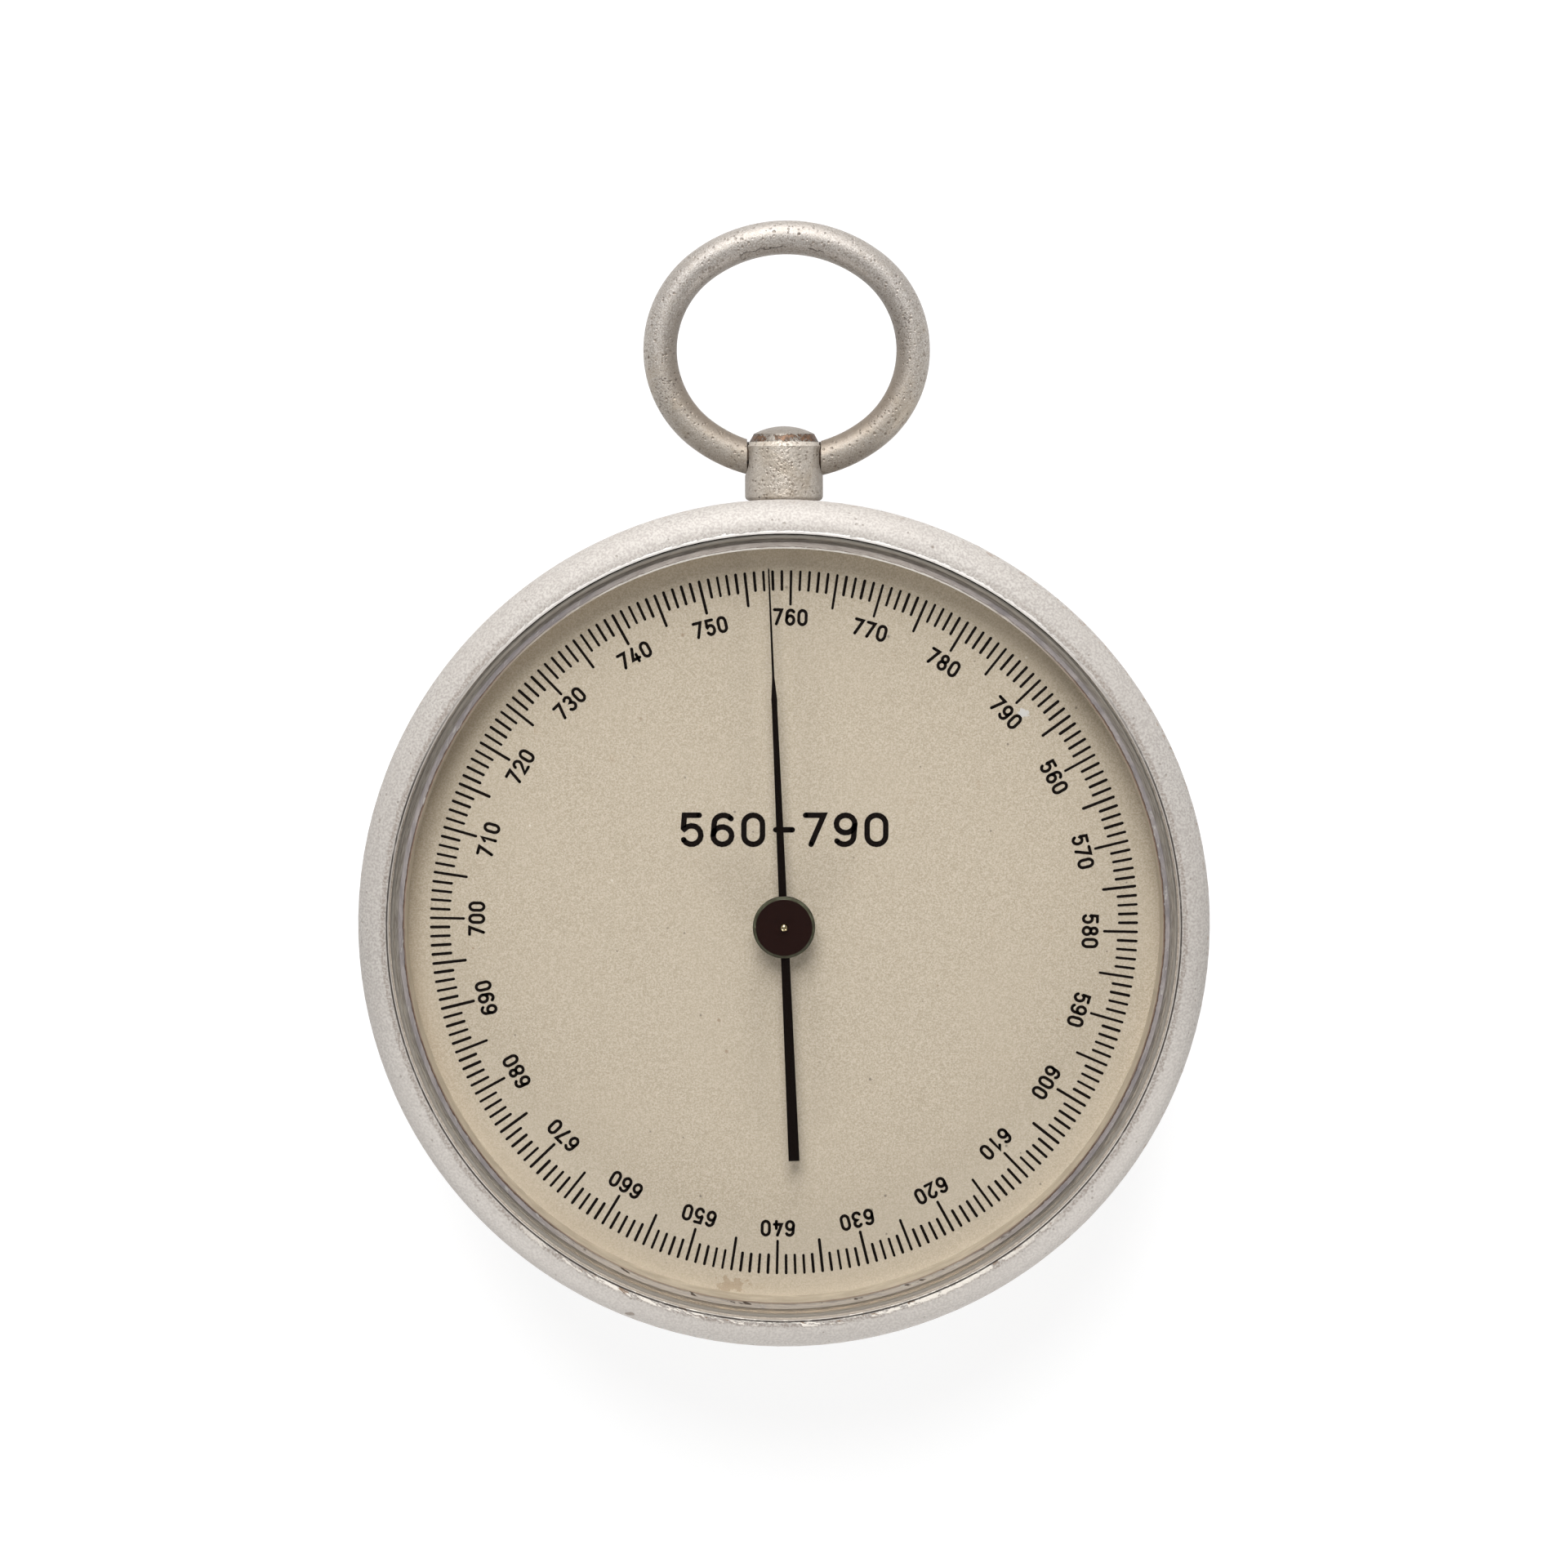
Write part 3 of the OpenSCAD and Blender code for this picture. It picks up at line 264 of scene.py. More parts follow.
def stove_paint(g, fine):
    """Colour and height of silver-grey stove paint with a fine grain and pits, and painted light that makes it
    paler towards the far side.
    """
    coarse = g.noise(0.7, 3.0, 0.55)
    cloud = g.noise(9.0, 2.0, 0.5)
    dots = pits(g, 0.6, 0.15, 0.22)
    spots = pits(g, 4.2, 0.22, 0.14, g.moved((3.1, 1.7, 0.4)))
    color = g.tones(fine, 0.3, 0.7, "a19b96", "bbb6b0")
    color = g.over(color, "a39b94", g.band(coarse, 0.35, 0.7, 0.0, 0.1))
    color = g.over(color, "b0a9a3", g.band(cloud, 0.35, 0.7, 0.0, 0.2))
    # Painted light: the paint is paler towards the far side from the bow
    color = g.over(color, "dad3cc", g.band(g.lean(), -0.45, -0.05, 0.26, 0.0))
    color = g.over(color, "7e756b", dots, 0.55)
    color = g.over(color, "5d4c3d", spots, 0.8)
    height = g.plus(g.times(fine, 0.6), g.times(coarse, 0.2))
    return color, g.minus(height, g.times(g.most(dots, spots), 0.8))


# Stretches of wear, painted light and painted shade on the lip, as distances outwards from the opening, and
# the place of its dent. What is called ends or starts is where a stretch fades out or in
LIP_WALL_ENDS = (0.01, 0.05)
LIP_LINE = (0.09, 0.25)
LIP_RIM_ENDS = (0.25, 0.31)
LIP_FLAKES = (0.05, 0.65)
LIP_STAINS = (0.1, 0.6)
LIP_WORN = (0.33, 0.77)
LIP_RUST_STARTS = (2.6, 3.0)
LIP_DENT = (-14.55, -36.5)


def lip_wear(g, fine, color, height):
    """Wear, painted light and painted shade of the bezel's top: bare round the opening and lighter on the bow's
    side, flaked and stained on the far side, with a painted shadow line by the opening.
    """
    ragged = g.noise(0.75, 4.0, 0.7, g.turned())
    out = g.minus(g.radius(), LIP_R)
    edge = g.frayed(out, ragged, 0.7)
    top = g.band(g.z, BEZEL_TOP - 0.29, BEZEL_TOP - 0.14)
    lean = g.lean()
    upper = g.band(lean, 0.5, 1.0)
    lower = g.band(lean, -0.95, -0.6, 1.0, 0.0)
    shaded = g.band(lean, 0.3, 0.8, 1.0, 0.0)

    # Paint rubbed thin, and bare metal on the rim; both are made lighter on the bow's side as a painted highlight
    worn = g.times(g.window(edge, *LIP_WORN, 0.12), top, g.band(upper, 0.0, 1.0, 1.0, 0.25))
    color = g.over(color, "857a71", worn, g.band(fine, 0.3, 0.7, 0.75, 0.25))
    rim = g.times(g.band(edge, *LIP_RIM_ENDS, 1.0, 0.0), top)
    bare_with_highlight = g.mix(upper, g.mix(lower, "bab3ac", "9f9890"), "e8e4e0")
    color = g.over(color, bare_with_highlight, rim, 0.8)

    # Pale flakes and brown stains on the far side
    flakes = g.band(g.noise(0.8, 4.0, 0.7, g.turned(0.4)), 0.5, 0.53)
    flakes = g.times(g.window(edge, *LIP_FLAKES, 0.1), flakes, lower)
    color = g.over(color, "efe8de", flakes, 0.85)
    stains = g.band(g.noise(0.55, 3.0, 0.6, g.turned(0.5)), 0.6, 0.64)
    color = g.over(color, "7a5a38", g.window(edge, *LIP_STAINS, 0.05), stains, lower, 0.75)

    # Painted shade: the wall of the opening darkened, most on the far side, and a dark line beside it for the
    # shadow in the gap; both are left out on the bow's side
    wall = g.band(out, *LIP_WALL_ENDS, 1.0, 0.0)
    color = g.over(color, g.tones(lean, -0.9, -0.4, "7d7469", "8f877e"), wall, shaded, 0.85)
    line = g.window(out, *LIP_LINE, 0.02)
    color = g.over(color, "241c16", line, shaded, 0.95, g.band(ragged, 0.3, 0.5, 0.7, 1.0))

    # Rust along the outer side, mostly on the right, and a dent
    rust = g.band(g.noise(0.7, 4.0, 0.7, g.moved((9, 4, 2))), 0.56, 0.62)
    right = g.band(g.x, 0.0, 35.0, 0.35, 1.0)
    color = g.over(color, "80664f", g.band(out, *LIP_RUST_STARTS), rust, right, 0.75)
    dent = spot(g, LIP_DENT, 0.5, 0.22, ragged, 0.25)
    color = g.over(color, "77685a", dent, 0.7)

    height = g.plus(height, g.times(flakes, 0.6), g.times(rim, -1.2))
    return color, g.minus(height, dent)


def bezel_paint(name, lip):
    """Stove paint of the case, or of the bezel with the wear round its opening."""
    g = Graph(name)
    fine = g.noise(0.22, 1.0, 0.5)
    color, height = stove_paint(g, fine)
    if lip:
        color, height = lip_wear(g, fine, color, height)
    return g.finish(color, 0.6, 0.2, g.bump(height, 0.055, 0.8))


# Stretches of the ring's turned profile and wear, as distances outwards from its inner edge
RING_RUST = (0.0, 0.14)
RING_SPECKS = (0.02, 0.3)
RING_CHIPS = (0.1, 0.5)
RING_FACE_ENDS = (0.53, 0.6)
RING_GROOVE = (0.57, 0.82)
RING_CREST = (0.88, 1.12)
RING_SHELF_STARTS = (1.06, 1.16)


def ring_profile(g, streak, blotch, out, edge):
    """Colour of the ring's turned face, groove, crest and outer shelf, with painted light on the crest, the far
    side, the outer shelf and the bow's side of the inner land.
    """
    lean = g.lean()
    color = g.tones(streak, 0.32, 0.68, "928a82", "c6bdb2")
    groove = g.window(out, *RING_GROOVE, 0.04)
    color = g.over(color, g.tones(streak, 0.3, 0.7, "a39a92", "cfc7c0"), groove, 0.75)
    # Painted highlight: the crest is near white, most on the bow's side
    crest = g.times(g.window(out, *RING_CREST, 0.03), g.band(lean, 0.2, 0.8, 0.3, 0.95))
    color = g.over(color, g.tones(streak, 0.3, 0.7, "e3d9cd", "fff7ec"), crest)
    face = g.band(edge, *RING_FACE_ENDS, 1.0, 0.0)
    color = g.over(color, g.tones(blotch, 0.35, 0.7, "8b858a", "b4abac"), face, 0.8)
    # Painted light: paler on the far side
    lower = g.band(lean, -0.92, -0.72, 1.0, 0.0)
    color = g.over(color, "dbcebe", lower, g.band(streak, 0.3, 0.6, 0.4, 0.9))
    # Painted light on the outer shelf under the lip, most away from the bow
    shelf = g.band(out, *RING_SHELF_STARTS)
    color = g.over(color, "fbf3ea", shelf, g.band(lean, -0.9, 0.5, 0.8, 0.15))
    # Painted light: a lighter land along the inner edge on the bow's side, where the lip shades it
    land = g.times(g.band(edge, 0.5, 0.6, 1.0, 0.0), g.band(lean, 0.8, 0.99))
    return g.over(color, g.tones(streak, 0.35, 0.65, "c0b3a7", "e2d7cd"), land, 0.6)


def ring_metal():
    """The ring under the glass: turned grey metal, rusted and worn along its inner edge, with painted light and a
    painted highlight.
    """
    g = Graph("ring_finish")
    streak = g.noise(0.13, 3.0, 0.65, g.turned(0.09))
    blotch = g.noise(1.1, 4.0, 0.65, g.turned(0.5))
    ragged = g.noise(0.6, 4.0, 0.7, g.turned(0.6))
    out = g.minus(g.radius(), RING_R)
    edge = g.frayed(out, ragged, 0.25)
    lean = g.lean()
    lower = g.band(lean, -0.92, -0.72, 1.0, 0.0)
    color = ring_profile(g, streak, blotch, out, edge)

    # Rust, brown and dark specks along the inner edge
    rust = g.times(g.window(edge, *RING_RUST, 0.03), g.band(blotch, 0.25, 0.5, 0.35, 1.0))
    color = g.over(color, "4f3626", rust, g.minus(0.9, g.times(lower, 0.6)))
    color = g.over(color, "9a7f66", g.band(edge, 0.02, 0.08, 1.0, 0.0), 0.6)
    specks = g.band(g.noise(0.5, 2.0, 0.5, g.turned(0.5)), 0.6, 0.66)
    specks = g.times(g.window(edge, *RING_SPECKS, 0.04), specks)
    color = g.over(color, "4a3a2e", specks, g.plus(g.times(lower, 0.75), 0.15))

    # Painted highlight along the inner edge on the bow's side, chips, and the wall that faces the dial's middle
    bright = g.times(g.window(edge, -0.1, 0.1, 0.03), g.band(lean, 0.6, 0.97))
    color = g.over(color, "f0ebe4", bright, g.band(blotch, 0.3, 0.5, 0.45, 0.95))
    chips = g.times(g.window(edge, *RING_CHIPS, 0.06), g.band(ragged, 0.6, 0.66))
    color = g.over(color, "d5d1cb", chips, 0.6)
    wall = g.band(g.z, RING_TOP - 0.15, RING_TOP - 0.02, 1.0, 0.0)
    wall = g.times(wall, g.band(out, 0.0, 0.02, 1.0, 0.0))
    color = g.over(color, g.tones(blotch, 0.35, 0.7, "aca190", "c2b7a6"), wall)

    height = g.plus(g.times(streak, 0.5), g.times(g.most(chips, specks), -0.8))
    shiny = g.times(g.band(out, 0.54, 0.6, 0.15, 0.75), g.band(lean, 0.5, 0.9, 1.0, 0.35))
    return g.finish(color, 0.4, shiny, g.bump(height, 0.03, 0.6))


# Places of the dial's chip and its largest stain
DIAL_CHIP = (22.5, 20.0)
DIAL_STAIN = (-5.0, -34.5)


def dial_paint():
    """Matte beige dial with a fine grain, dark and light specks, foxing and one chip."""
    g = Graph("dial_finish")
    grain = g.noise(0.15, 3.0, 0.65)
    mottle = g.noise(0.42, 3.0, 0.6)
    cloud = g.noise(11.0, 2.0, 0.5)
    radius = g.radius()

    # The paint's grain, with painted shade near the rim on the left and painted light on the outer part on the far
    # side
    color = g.tones(grain, 0.3, 0.7, "b5a893", "d9cdbc")
    color = g.over(color, "b8a993", g.band(mottle, 0.4, 0.65, 0.0, 0.25))
    color = g.over(color, "cbbeab", g.band(cloud, 0.4, 0.7, 0.0, 0.25))
    # Painted shade: darker near the rim on the left
    left = g.band(g.x, -30, 10, 1.0, 0.0)
    color = g.over(color, "b39f86", g.band(radius, 33.4, 35.6), left, 0.3)
    # Painted light: paler on the outer part of the dial on the far side
    painted_light = g.most(g.band(radius, 33.6, 35.6, 0.0, 0.45), g.band(radius, 27.0, 31.0, 0.0, 0.24))
    color = g.over(color, "e0d5c4", painted_light, g.band(g.y, -26.0, -8.0, 1.0, 0.0))

    # Foxing, dark, brown and light specks, the chip and the stain
    foxing = g.band(g.noise(2.4, 3.0, 0.6, g.moved((5, 2, 0))), 0.66, 0.78)
    color = g.over(color, "a98a66", foxing, 0.22)
    light = pits(g, 2.6, 0.13, 0.2, g.moved((6.1, 3.3, 0)))
    color = g.over(color, "6f665c", pits(g, 1.6, 0.16, 0.22), 0.7)
    color = g.over(color, "8a6a4c", pits(g, 4.0, 0.22, 0.25, g.moved((2.3, 7.9, 0))), 0.5)
    color = g.over(color, "efe8dc", light, 0.7)
    chip = spot(g, DIAL_CHIP, 0.62, 0.42, g.noise(0.5, 3.0, 0.6), 0.6)
    color = g.over(color, "d8d5d2", chip)
    stain = spot(g, DIAL_STAIN, 1.5, 0.7, g.noise(0.9, 3.0, 0.6), 0.9)
    color = g.over(color, "9c7f5e", stain, 0.4)

    height = g.plus(g.times(grain, 0.5), g.times(mottle, 0.3), g.times(g.most(light, chip), 0.7))
    return g.finish(color, 0.62, 0.0, g.bump(height, 0.02, 0.5))


def dark_enamel(name, dark, light, chamfer=False):
    """Very dark brown enamel, worn grey-green on the hub's chamfer."""
    g = Graph(name)
    grain = g.noise(0.1, 2.0, 0.6)
    color = g.tones(grain, 0.3, 0.7, dark, light)
    color = g.over(color, "8b7d6c", pits(g, 1.3, 0.09, 0.18), 0.6)
    if chamfer:
        inward = g.minus(HUB_R, g.radius())
        streak = g.noise(0.35, 4.0, 0.65, g.turned(0.35))
        worn = g.window(inward, 0.03, 0.29, 0.025)
        color = g.over(color, "565848", worn, g.band(streak, 0.3, 0.65, 0.35, 1.0))
        bright = g.window(inward, 0.21, 0.27, 0.02)
        color = g.over(color, "a8a08c", bright, g.band(streak, 0.52, 0.66), 0.5)
    return g.finish(color, 0.38, 0.0, g.bump(grain, 0.004, 0.3), 0.08)


def ink_black():
    """Black wax filling of the engraved scale."""
    g = Graph("ink_finish")
    grain = g.noise(0.12, 3.0, 0.6)
    color = g.tones(grain, 0.35, 0.75, "0d0908", "1e1612")
    return g.finish(color, 0.7, 0.0, g.bump(grain, 0.01, 0.5), 0.06)


def nickel(name, dark, light, dents, wear_and_shade):
    """Nickel silver: satin, pitted and tarnished brown in patches. Wear and painted shade add what one piece has
    alone.
    """
    g = Graph(name)
    fine = g.noise(0.14, 3.0, 0.65)
    coarse = g.noise(0.5, 4.0, 0.6)
    dented = g.noise(0.36, 1.5, 0.5, g.moved((4, 2, 8)))
    patch = g.noise(3.0, 4.0, 0.6, distortion=0.4)
    near = g.band(g.y, 46.0, 60.0, 0.36, 0.05)
    small = pits(g, 0.34, 0.15, 0.5)
    large = pits(g, 1.3, 0.19, 0.2, g.moved((1.3, 4.7, 2.9)))

    color = g.tones(fine, 0.3, 0.7, dark, light)
    color = g.over(color, "9a9083", g.band(coarse, 0.45, 0.7, 0.0, 0.3))
    color = g.over(color, "b0a390", near)
    color = g.over(color, "a0907a", g.band(patch, 0.45, 0.65), near)
    color = g.over(color, "6a5d50", small, 0.6)
    color = g.over(color, "4a3a2c", large, 0.75)
    color, marks = wear_and_shade(g, color, coarse, dented)

    height = g.plus(g.times(fine, 0.35), g.times(coarse, 0.35), g.times(dented, dents))
    height = g.minus(height, g.most(small, large, marks))
    return g.finish(color, g.band(fine, 0.2, 0.8, 0.4, 0.55), 0.45, g.bump(height, 0.06, 0.8))


# Corroded places on the bow's right and left, and the cracks under its top: their distance outwards
# from the bow's inside, and their two stretches across
BOW_EATEN_RIGHT = (11.2, 56.4)
BOW_EATEN_LEFT = (-11.3, 49.8)
BOW_CRACKS = (0.55, 0.7)
BOW_CRACK_LEFT = (-4.2, 0.0)
BOW_CRACK_RIGHT = (2.3, 3.8)


def bow_wear(g, color, coarse, _):
    """The bow: dirty and darkened with painted shade along its inside, cracked under its top and eaten away at its
    sides.
    """
    across = g.minus(g.x, BOW_X)
    along = g.times(g.minus(g.y, BOW_Y), BOW_SQUEEZE)
    reach = g.math("SQRT", g.plus(g.times(across, across), g.times(along, along)))
    reach = g.frayed(g.minus(reach, BOW_INNER), coarse, 0.9)
    color = g.over(color, "8d867f", g.band(reach, 1.9, 2.7), g.band(g.y, 54.0, 62.0, 0.0, 0.5))
    # Dirt and painted shade: darker along the inside of the bow
    dirt_and_shade = g.band(reach, 0.0, 2.2, 1.0, 0.0)
    color = g.over(color, "75695c", dirt_and_shade, g.band(g.y, 47.0, 60.0, 0.95, 0.4))
    cracks = g.times(g.window(reach, *BOW_CRACKS, 0.05), g.band(g.y, 60.0, 62.0))
    stretches = g.most(g.window(g.x, *BOW_CRACK_LEFT, 0.2), g.window(g.x, *BOW_CRACK_RIGHT, 0.2))
    cracks = g.times(cracks, stretches)
    color = g.over(color, "3d342d", cracks, 0.8)
    right = spot(g, BOW_EATEN_RIGHT, 0.9, 2.2, coarse)
    left = spot(g, BOW_EATEN_LEFT, 1.3, 2.4, coarse)
    eaten = g.times(g.most(right, left), g.band(g.noise(0.22, 2.0, 0.6), 0.55, 0.68))
    color = g.over(color, "453930", eaten, 0.75)
    return color, g.times(g.most(cracks, eaten), 0.3)


# The pendant's painted shade and wear: the dome's edge and the chamfer, measured down from its end, and the
# brown spots on the chamfer with their place across, half width and half height
PENDANT_DOME_ENDS = (0.68, 0.88)
PENDANT_CHAMFER = (0.78, 1.51)
PENDANT_BROWN_DOWN = 1.13
PENDANT_BROWNS = ((-2.45, 0.85, 0.38), (0.15, 1.05, 0.32), (2.4, 1.0, 0.38))


def pendant_wear(g, color, _, dented):
    """The pendant: eaten away down its middle, with painted shade on its sides, dome and chamfer, and brown spots
    on its chamfer.
    """
    column = g.times(g.window(g.x, -1.4, 1.2, 0.6), g.window(g.y, 40.3, 45.3, 0.3))
    eaten = g.times(column, g.band(g.noise(0.28, 2.0, 0.6), 0.56, 0.66))
    color = g.over(color, "5c4d3f", eaten, 0.7)
    side = g.math("ABSOLUTE", g.x)
    below = g.minus(PENDANT_TOP, g.y)
    chamfer = g.window(below, *PENDANT_CHAMFER, 0.05)
    # Painted shade: darker towards the sides, on the dome and on the chamfer, most at the chamfer's sides
    color = g.over(color, "7d746b", g.band(side, 2.2, 3.5, 0.0, 0.6))
    color = g.over(color, "766f68", g.band(below, *PENDANT_DOME_ENDS, 0.8, 0.0))
    color = g.over(color, "77716a", chamfer, 0.85)
    color = g.over(color, "453e37", chamfer, g.band(side, 1.9, 3.0, 0.0, 0.85))
    ragged = g.noise(0.3, 3.0, 0.7)
    middle = PENDANT_TOP - PENDANT_BROWN_DOWN
    browns = [spot(g, (across, middle), wide, high, ragged, 0.9) for across, wide, high in PENDANT_BROWNS]
    brown = g.times(g.most(*browns), chamfer)
    color = g.over(color, g.tones(dented, 0.4, 0.6, "6b4a30", "4a3322"), brown, 0.9)
    return color, g.most(brown, g.times(eaten, 0.5))


def turned_metal(name, dark, light, rough, tarnish):
    """Machined metal with fine tool marks and a little tarnish."""
    g = Graph(name)
    lines = g.noise(0.06, 2.0, 0.5, g.moved(stretch=(0.15, 0.15, 3.0)))
    patch = g.noise(2.0, 4.0, 0.6)
    marks = pits(g, 1.1, 0.1, 0.15)
    color = g.tones(lines, 0.3, 0.7, dark, light)
    color = g.over(color, tarnish, g.band(patch, 0.55, 0.75, 0.0, 0.4))
    color = g.over(color, "4a4034", marks, 0.5)
    height = g.minus(g.times(lines, 0.5), marks)
    return g.finish(color, g.band(patch, 0.3, 0.8, rough, rough + 0.15), 1.0, g.bump(height, 0.01, 0.5))


GLASS_TINT = (0.923, 0.922, 0.916, 1)
GLASS_IOR = 1.3
GLASS_MIRROR = 0.12


def clear_glass():
    """Flat clear glass: light goes straight through it, and its outer faces mirror a little."""
    g = Graph("glass_finish")
    smudge = g.noise(6.0, 4.0, 0.6)
    see = g.node("BsdfTransparent")
    see.inputs["Color"].default_value = GLASS_TINT
    gloss = g.node("BsdfGlossy")
    g.put(gloss.inputs["Roughness"], g.band(smudge, 0.3, 0.7, 0.02, 0.07))
    fresnel = g.node("Fresnel")
    fresnel.inputs["IOR"].default_value = GLASS_IOR
    inside = g.node("NewGeometry").outputs["Backfacing"]
    both = g.node("MixShader")
    g.put(both.inputs[0], g.times(fresnel.outputs[0], GLASS_MIRROR, g.minus(1.0, inside)))
    g.put(both.inputs[1], see.outputs[0])
    g.put(both.inputs[2], gloss.outputs[0])
    g.put(g.tree.nodes["Material Output"].inputs["Surface"], both.outputs[0])
    g.tree.nodes.remove(g.shader)
    return g.material


def grime():
    """Dark, uneven dirt in joints, which also stands as painted shade."""
    g = Graph("grime_and_shade_finish")
    patch = g.noise(0.9, 3.0, 0.6)
    fine = g.noise(0.12, 2.0, 0.6)
    color = g.tones(patch, 0.35, 0.65, "1c1714", "4a3c30")
    color = g.over(color, "7a6a58", g.band(fine, 0.55, 0.7, 0.0, 0.4))
    return g.finish(color, 0.75, 0.0, g.bump(fine, 0.01, 0.5), 0.2)


def seam_paint():
    """Old sealing round the glass, with painted shade on the bow's side where the lip shades it and painted light
    on the far side.
    """
    g = Graph("seam_finish")
    fine = g.noise(0.3, 3.0, 0.6)
    lean = g.lean()
    color = g.tones(fine, 0.3, 0.7, "8d8378", "b5aa9d")
    # Painted light: paler on the far side
    color = g.over(color, "dcd1c3", g.band(lean, -0.95, -0.6, 0.35, 0.0))
    # Painted shade on the bow's side, under the lip
    color = g.over(color, "2a2622", g.band(lean, 0.5, 0.85))
    return g.finish(color, 0.7, 0.0, g.bump(fine, 0.01, 0.5), 0.2)


# Looks of the record's material slots, and of the nodes that differ from the rest of their slot
slot_looks = {
    "case_paint": bezel_paint("case_finish", lip=False),
    "bezel_paint": bezel_paint("bezel_finish", lip=True),
    "crystal_glass": clear_glass(),
    "ring_metal": ring_metal(),
    "dial_face": dial_paint(),
    "movement_brass": turned_metal("brass_finish", "b08d4a", "d0b06a", 0.28, "8f7440"),
    "movement_steel": turned_metal("steel_finish", "8a8d92", "b5b7ba", 0.25, "77736c"),
    "capsule_metal": turned_metal("capsule_finish", "a9a69b", "c9c6bb", 0.3, "948f80"),
    "spring_steel": turned_metal("blued_finish", "2b3a66", "4a5e94", 0.25, "33385a"),
    "pointer_enamel": dark_enamel("pointer_finish", "0c0706", "150d0a"),
    "bow_metal": nickel("bow_finish", "807973", "c4bfba", 0.3, bow_wear),
}
node_looks = {
    "pointer_hub": dark_enamel("hub_finish", "1c0f0d", "281613", chamfer=True),
    "pendant": nickel("pendant_finish", "aca49c", "e2dcd5", 2.0, pendant_wear),
    "pointer_arbor": turned_metal("pin_finish", "a3906f", "d8c8a4", 0.18, "7a6848"),
}
for row in frame["record"]["subparts"]:
    look = node_looks.get(row["node"], slot_looks[row["material_slot"]])
    for slot in frame["nodes"][row["node"]].material_slots:
        slot.material = look


def new_piece(name, bm, material, body):
    """Puts a mesh in the scene on a body, with the slot that it takes its finish from."""
    bmesh.ops.recalc_face_normals(bm, faces=bm.faces)
    mesh = bpy.data.meshes.new(name)
    bm.to_mesh(mesh)
    bm.free()
    mesh.materials.append(material)
    obj = bpy.data.objects.new(name, mesh)
    bpy.context.scene.collection.objects.link(obj)
    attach(obj, body)


# Ink of the scale and its numerals. Angles are in degrees clockwise from the top of the dial
DIAL_Z = top_of("dial_plate", 2)
INK_SINK = 0.02
INK_RISE = 0.012
ROUND_STEPS = 5
DIAL_TURN = 1.15
TICKS = 240
TICK_PITCH = 360 / TICKS
TICKS_PER_MARK = 5
TICK_OUT = 33.4
TICK_SHORT = 1.95
TICK_LONG = 3.3
TICK_WIDTH = 0.26
FIRST_VALUE = 560
LAST_VALUE = 790
TOP_VALUE = 760
VALUE_STEP = 10
NUMERAL_R = 28.95
NUMERAL_H = 1.33
NUMERAL_W = 0.69
NUMERAL_PITCH = 1.15
NUMERAL_STROKE = 0.285
RANGE_Y = 9.0
RANGE_W = 1.75
RANGE_H = 2.75
RANGE_PITCH = 2.9
RANGE_STROKE = 0.52


def arc(cx, cy, rx, ry, start, end, steps=8):
    """Points on an ellipse's arc, in degrees anticlockwise from +X."""
    turns = [math.radians(start + (end - start) * i / steps) for i in range(steps + 1)]
    return [(cx + rx * math.cos(turn), cy + ry * math.sin(turn)) for turn in turns]


# Centre lines of the digits in a box of 1 by 1, with its middle at the origin
DIGITS = {
    "-": [[(-0.45, 0.0), (0.45, 0.0)]],
    "0": [arc(0, 0.2, 0.5, 0.3, 180, 0, 10) + arc(0, -0.2, 0.5, 0.3, 0, -180, 10) + [(-0.5, 0.2)]],
    "1": [[(-0.3, 0.25), (0.1, 0.5), (0.1, -0.5)]],
    "2": [arc(0, 0.22, 0.48, 0.28, 170, -20, 9) + [(0.3, 0.0), (-0.5, -0.5), (0.5, -0.5)]],
    "3": [arc(-0.02, 0.26, 0.44, 0.24, 150, -80, 9) + arc(-0.02, -0.24, 0.5, 0.26, 85, -155, 10)],
    "4": [[(0.05, 0.5), (-0.5, -0.28), (0.5, -0.28)], [(0.22, 0.02), (0.22, -0.5)]],
    "5": [[(0.42, 0.5), (-0.38, 0.5), (-0.44, 0.06)] + arc(0, -0.18, 0.5, 0.32, 140, -150, 12)],
    "6": [arc(0.06, 0.22, 0.5, 0.28, 35, 180, 7) + [(-0.48, -0.15)] + arc(0, -0.2, 0.5, 0.3, 180, 530, 16)],
    "7": [[(-0.5, 0.5), (0.48, 0.5), (-0.2, -0.5)]],
    "8": [arc(0, 0.27, 0.42, 0.23, -90, 270, 14), arc(0, -0.23, 0.5, 0.27, 90, 450, 16)],
    "9": [arc(-0.06, -0.22, 0.5, 0.28, 215, 360, 7) + [(0.48, 0.15)] + arc(0, 0.2, 0.5, 0.3, 0, 350, 16)],
}


def direction(a, b):
    """Unit vector from one point to another."""
    length = math.dist(a, b)
    return (b[0] - a[0]) / length, (b[1] - a[1]) / length


def stroke_outline(a, b, width):
    """Outline of a straight stroke with round ends."""
    run = math.degrees(math.atan2(b[1] - a[1], b[0] - a[0]))
    outline = []
    for centre, start in ((b, run - 90), (a, run + 90)):
        outline += arc(*centre, width / 2, width / 2, start, start + 180, ROUND_STEPS)
    return outline


def ribbon_sides(points, width, closed):
    """Left and right side of a curved stroke with mitred bends."""
    count = len(points)
    left, right = [], []
    for i, p in enumerate(points):
        ways = []
        if closed or i > 0:
            ways.append(direction(points[i - 1], p))
        if closed or i < count - 1:
            ways.append(direction(p, points[(i + 1) % count]))
        way = [sum(w[k] for w in ways) for k in (0, 1)]
        size = math.hypot(*way) or 1.0
        way = [w / size for w in way]
        reach = width / 2 / max(0.55, way[0] * ways[0][0] + way[1] * ways[0][1])
        left.append((p[0] - way[1] * reach, p[1] + way[0] * reach))
        right.append((p[0] + way[1] * reach, p[1] - way[0] * reach))
    return left, right


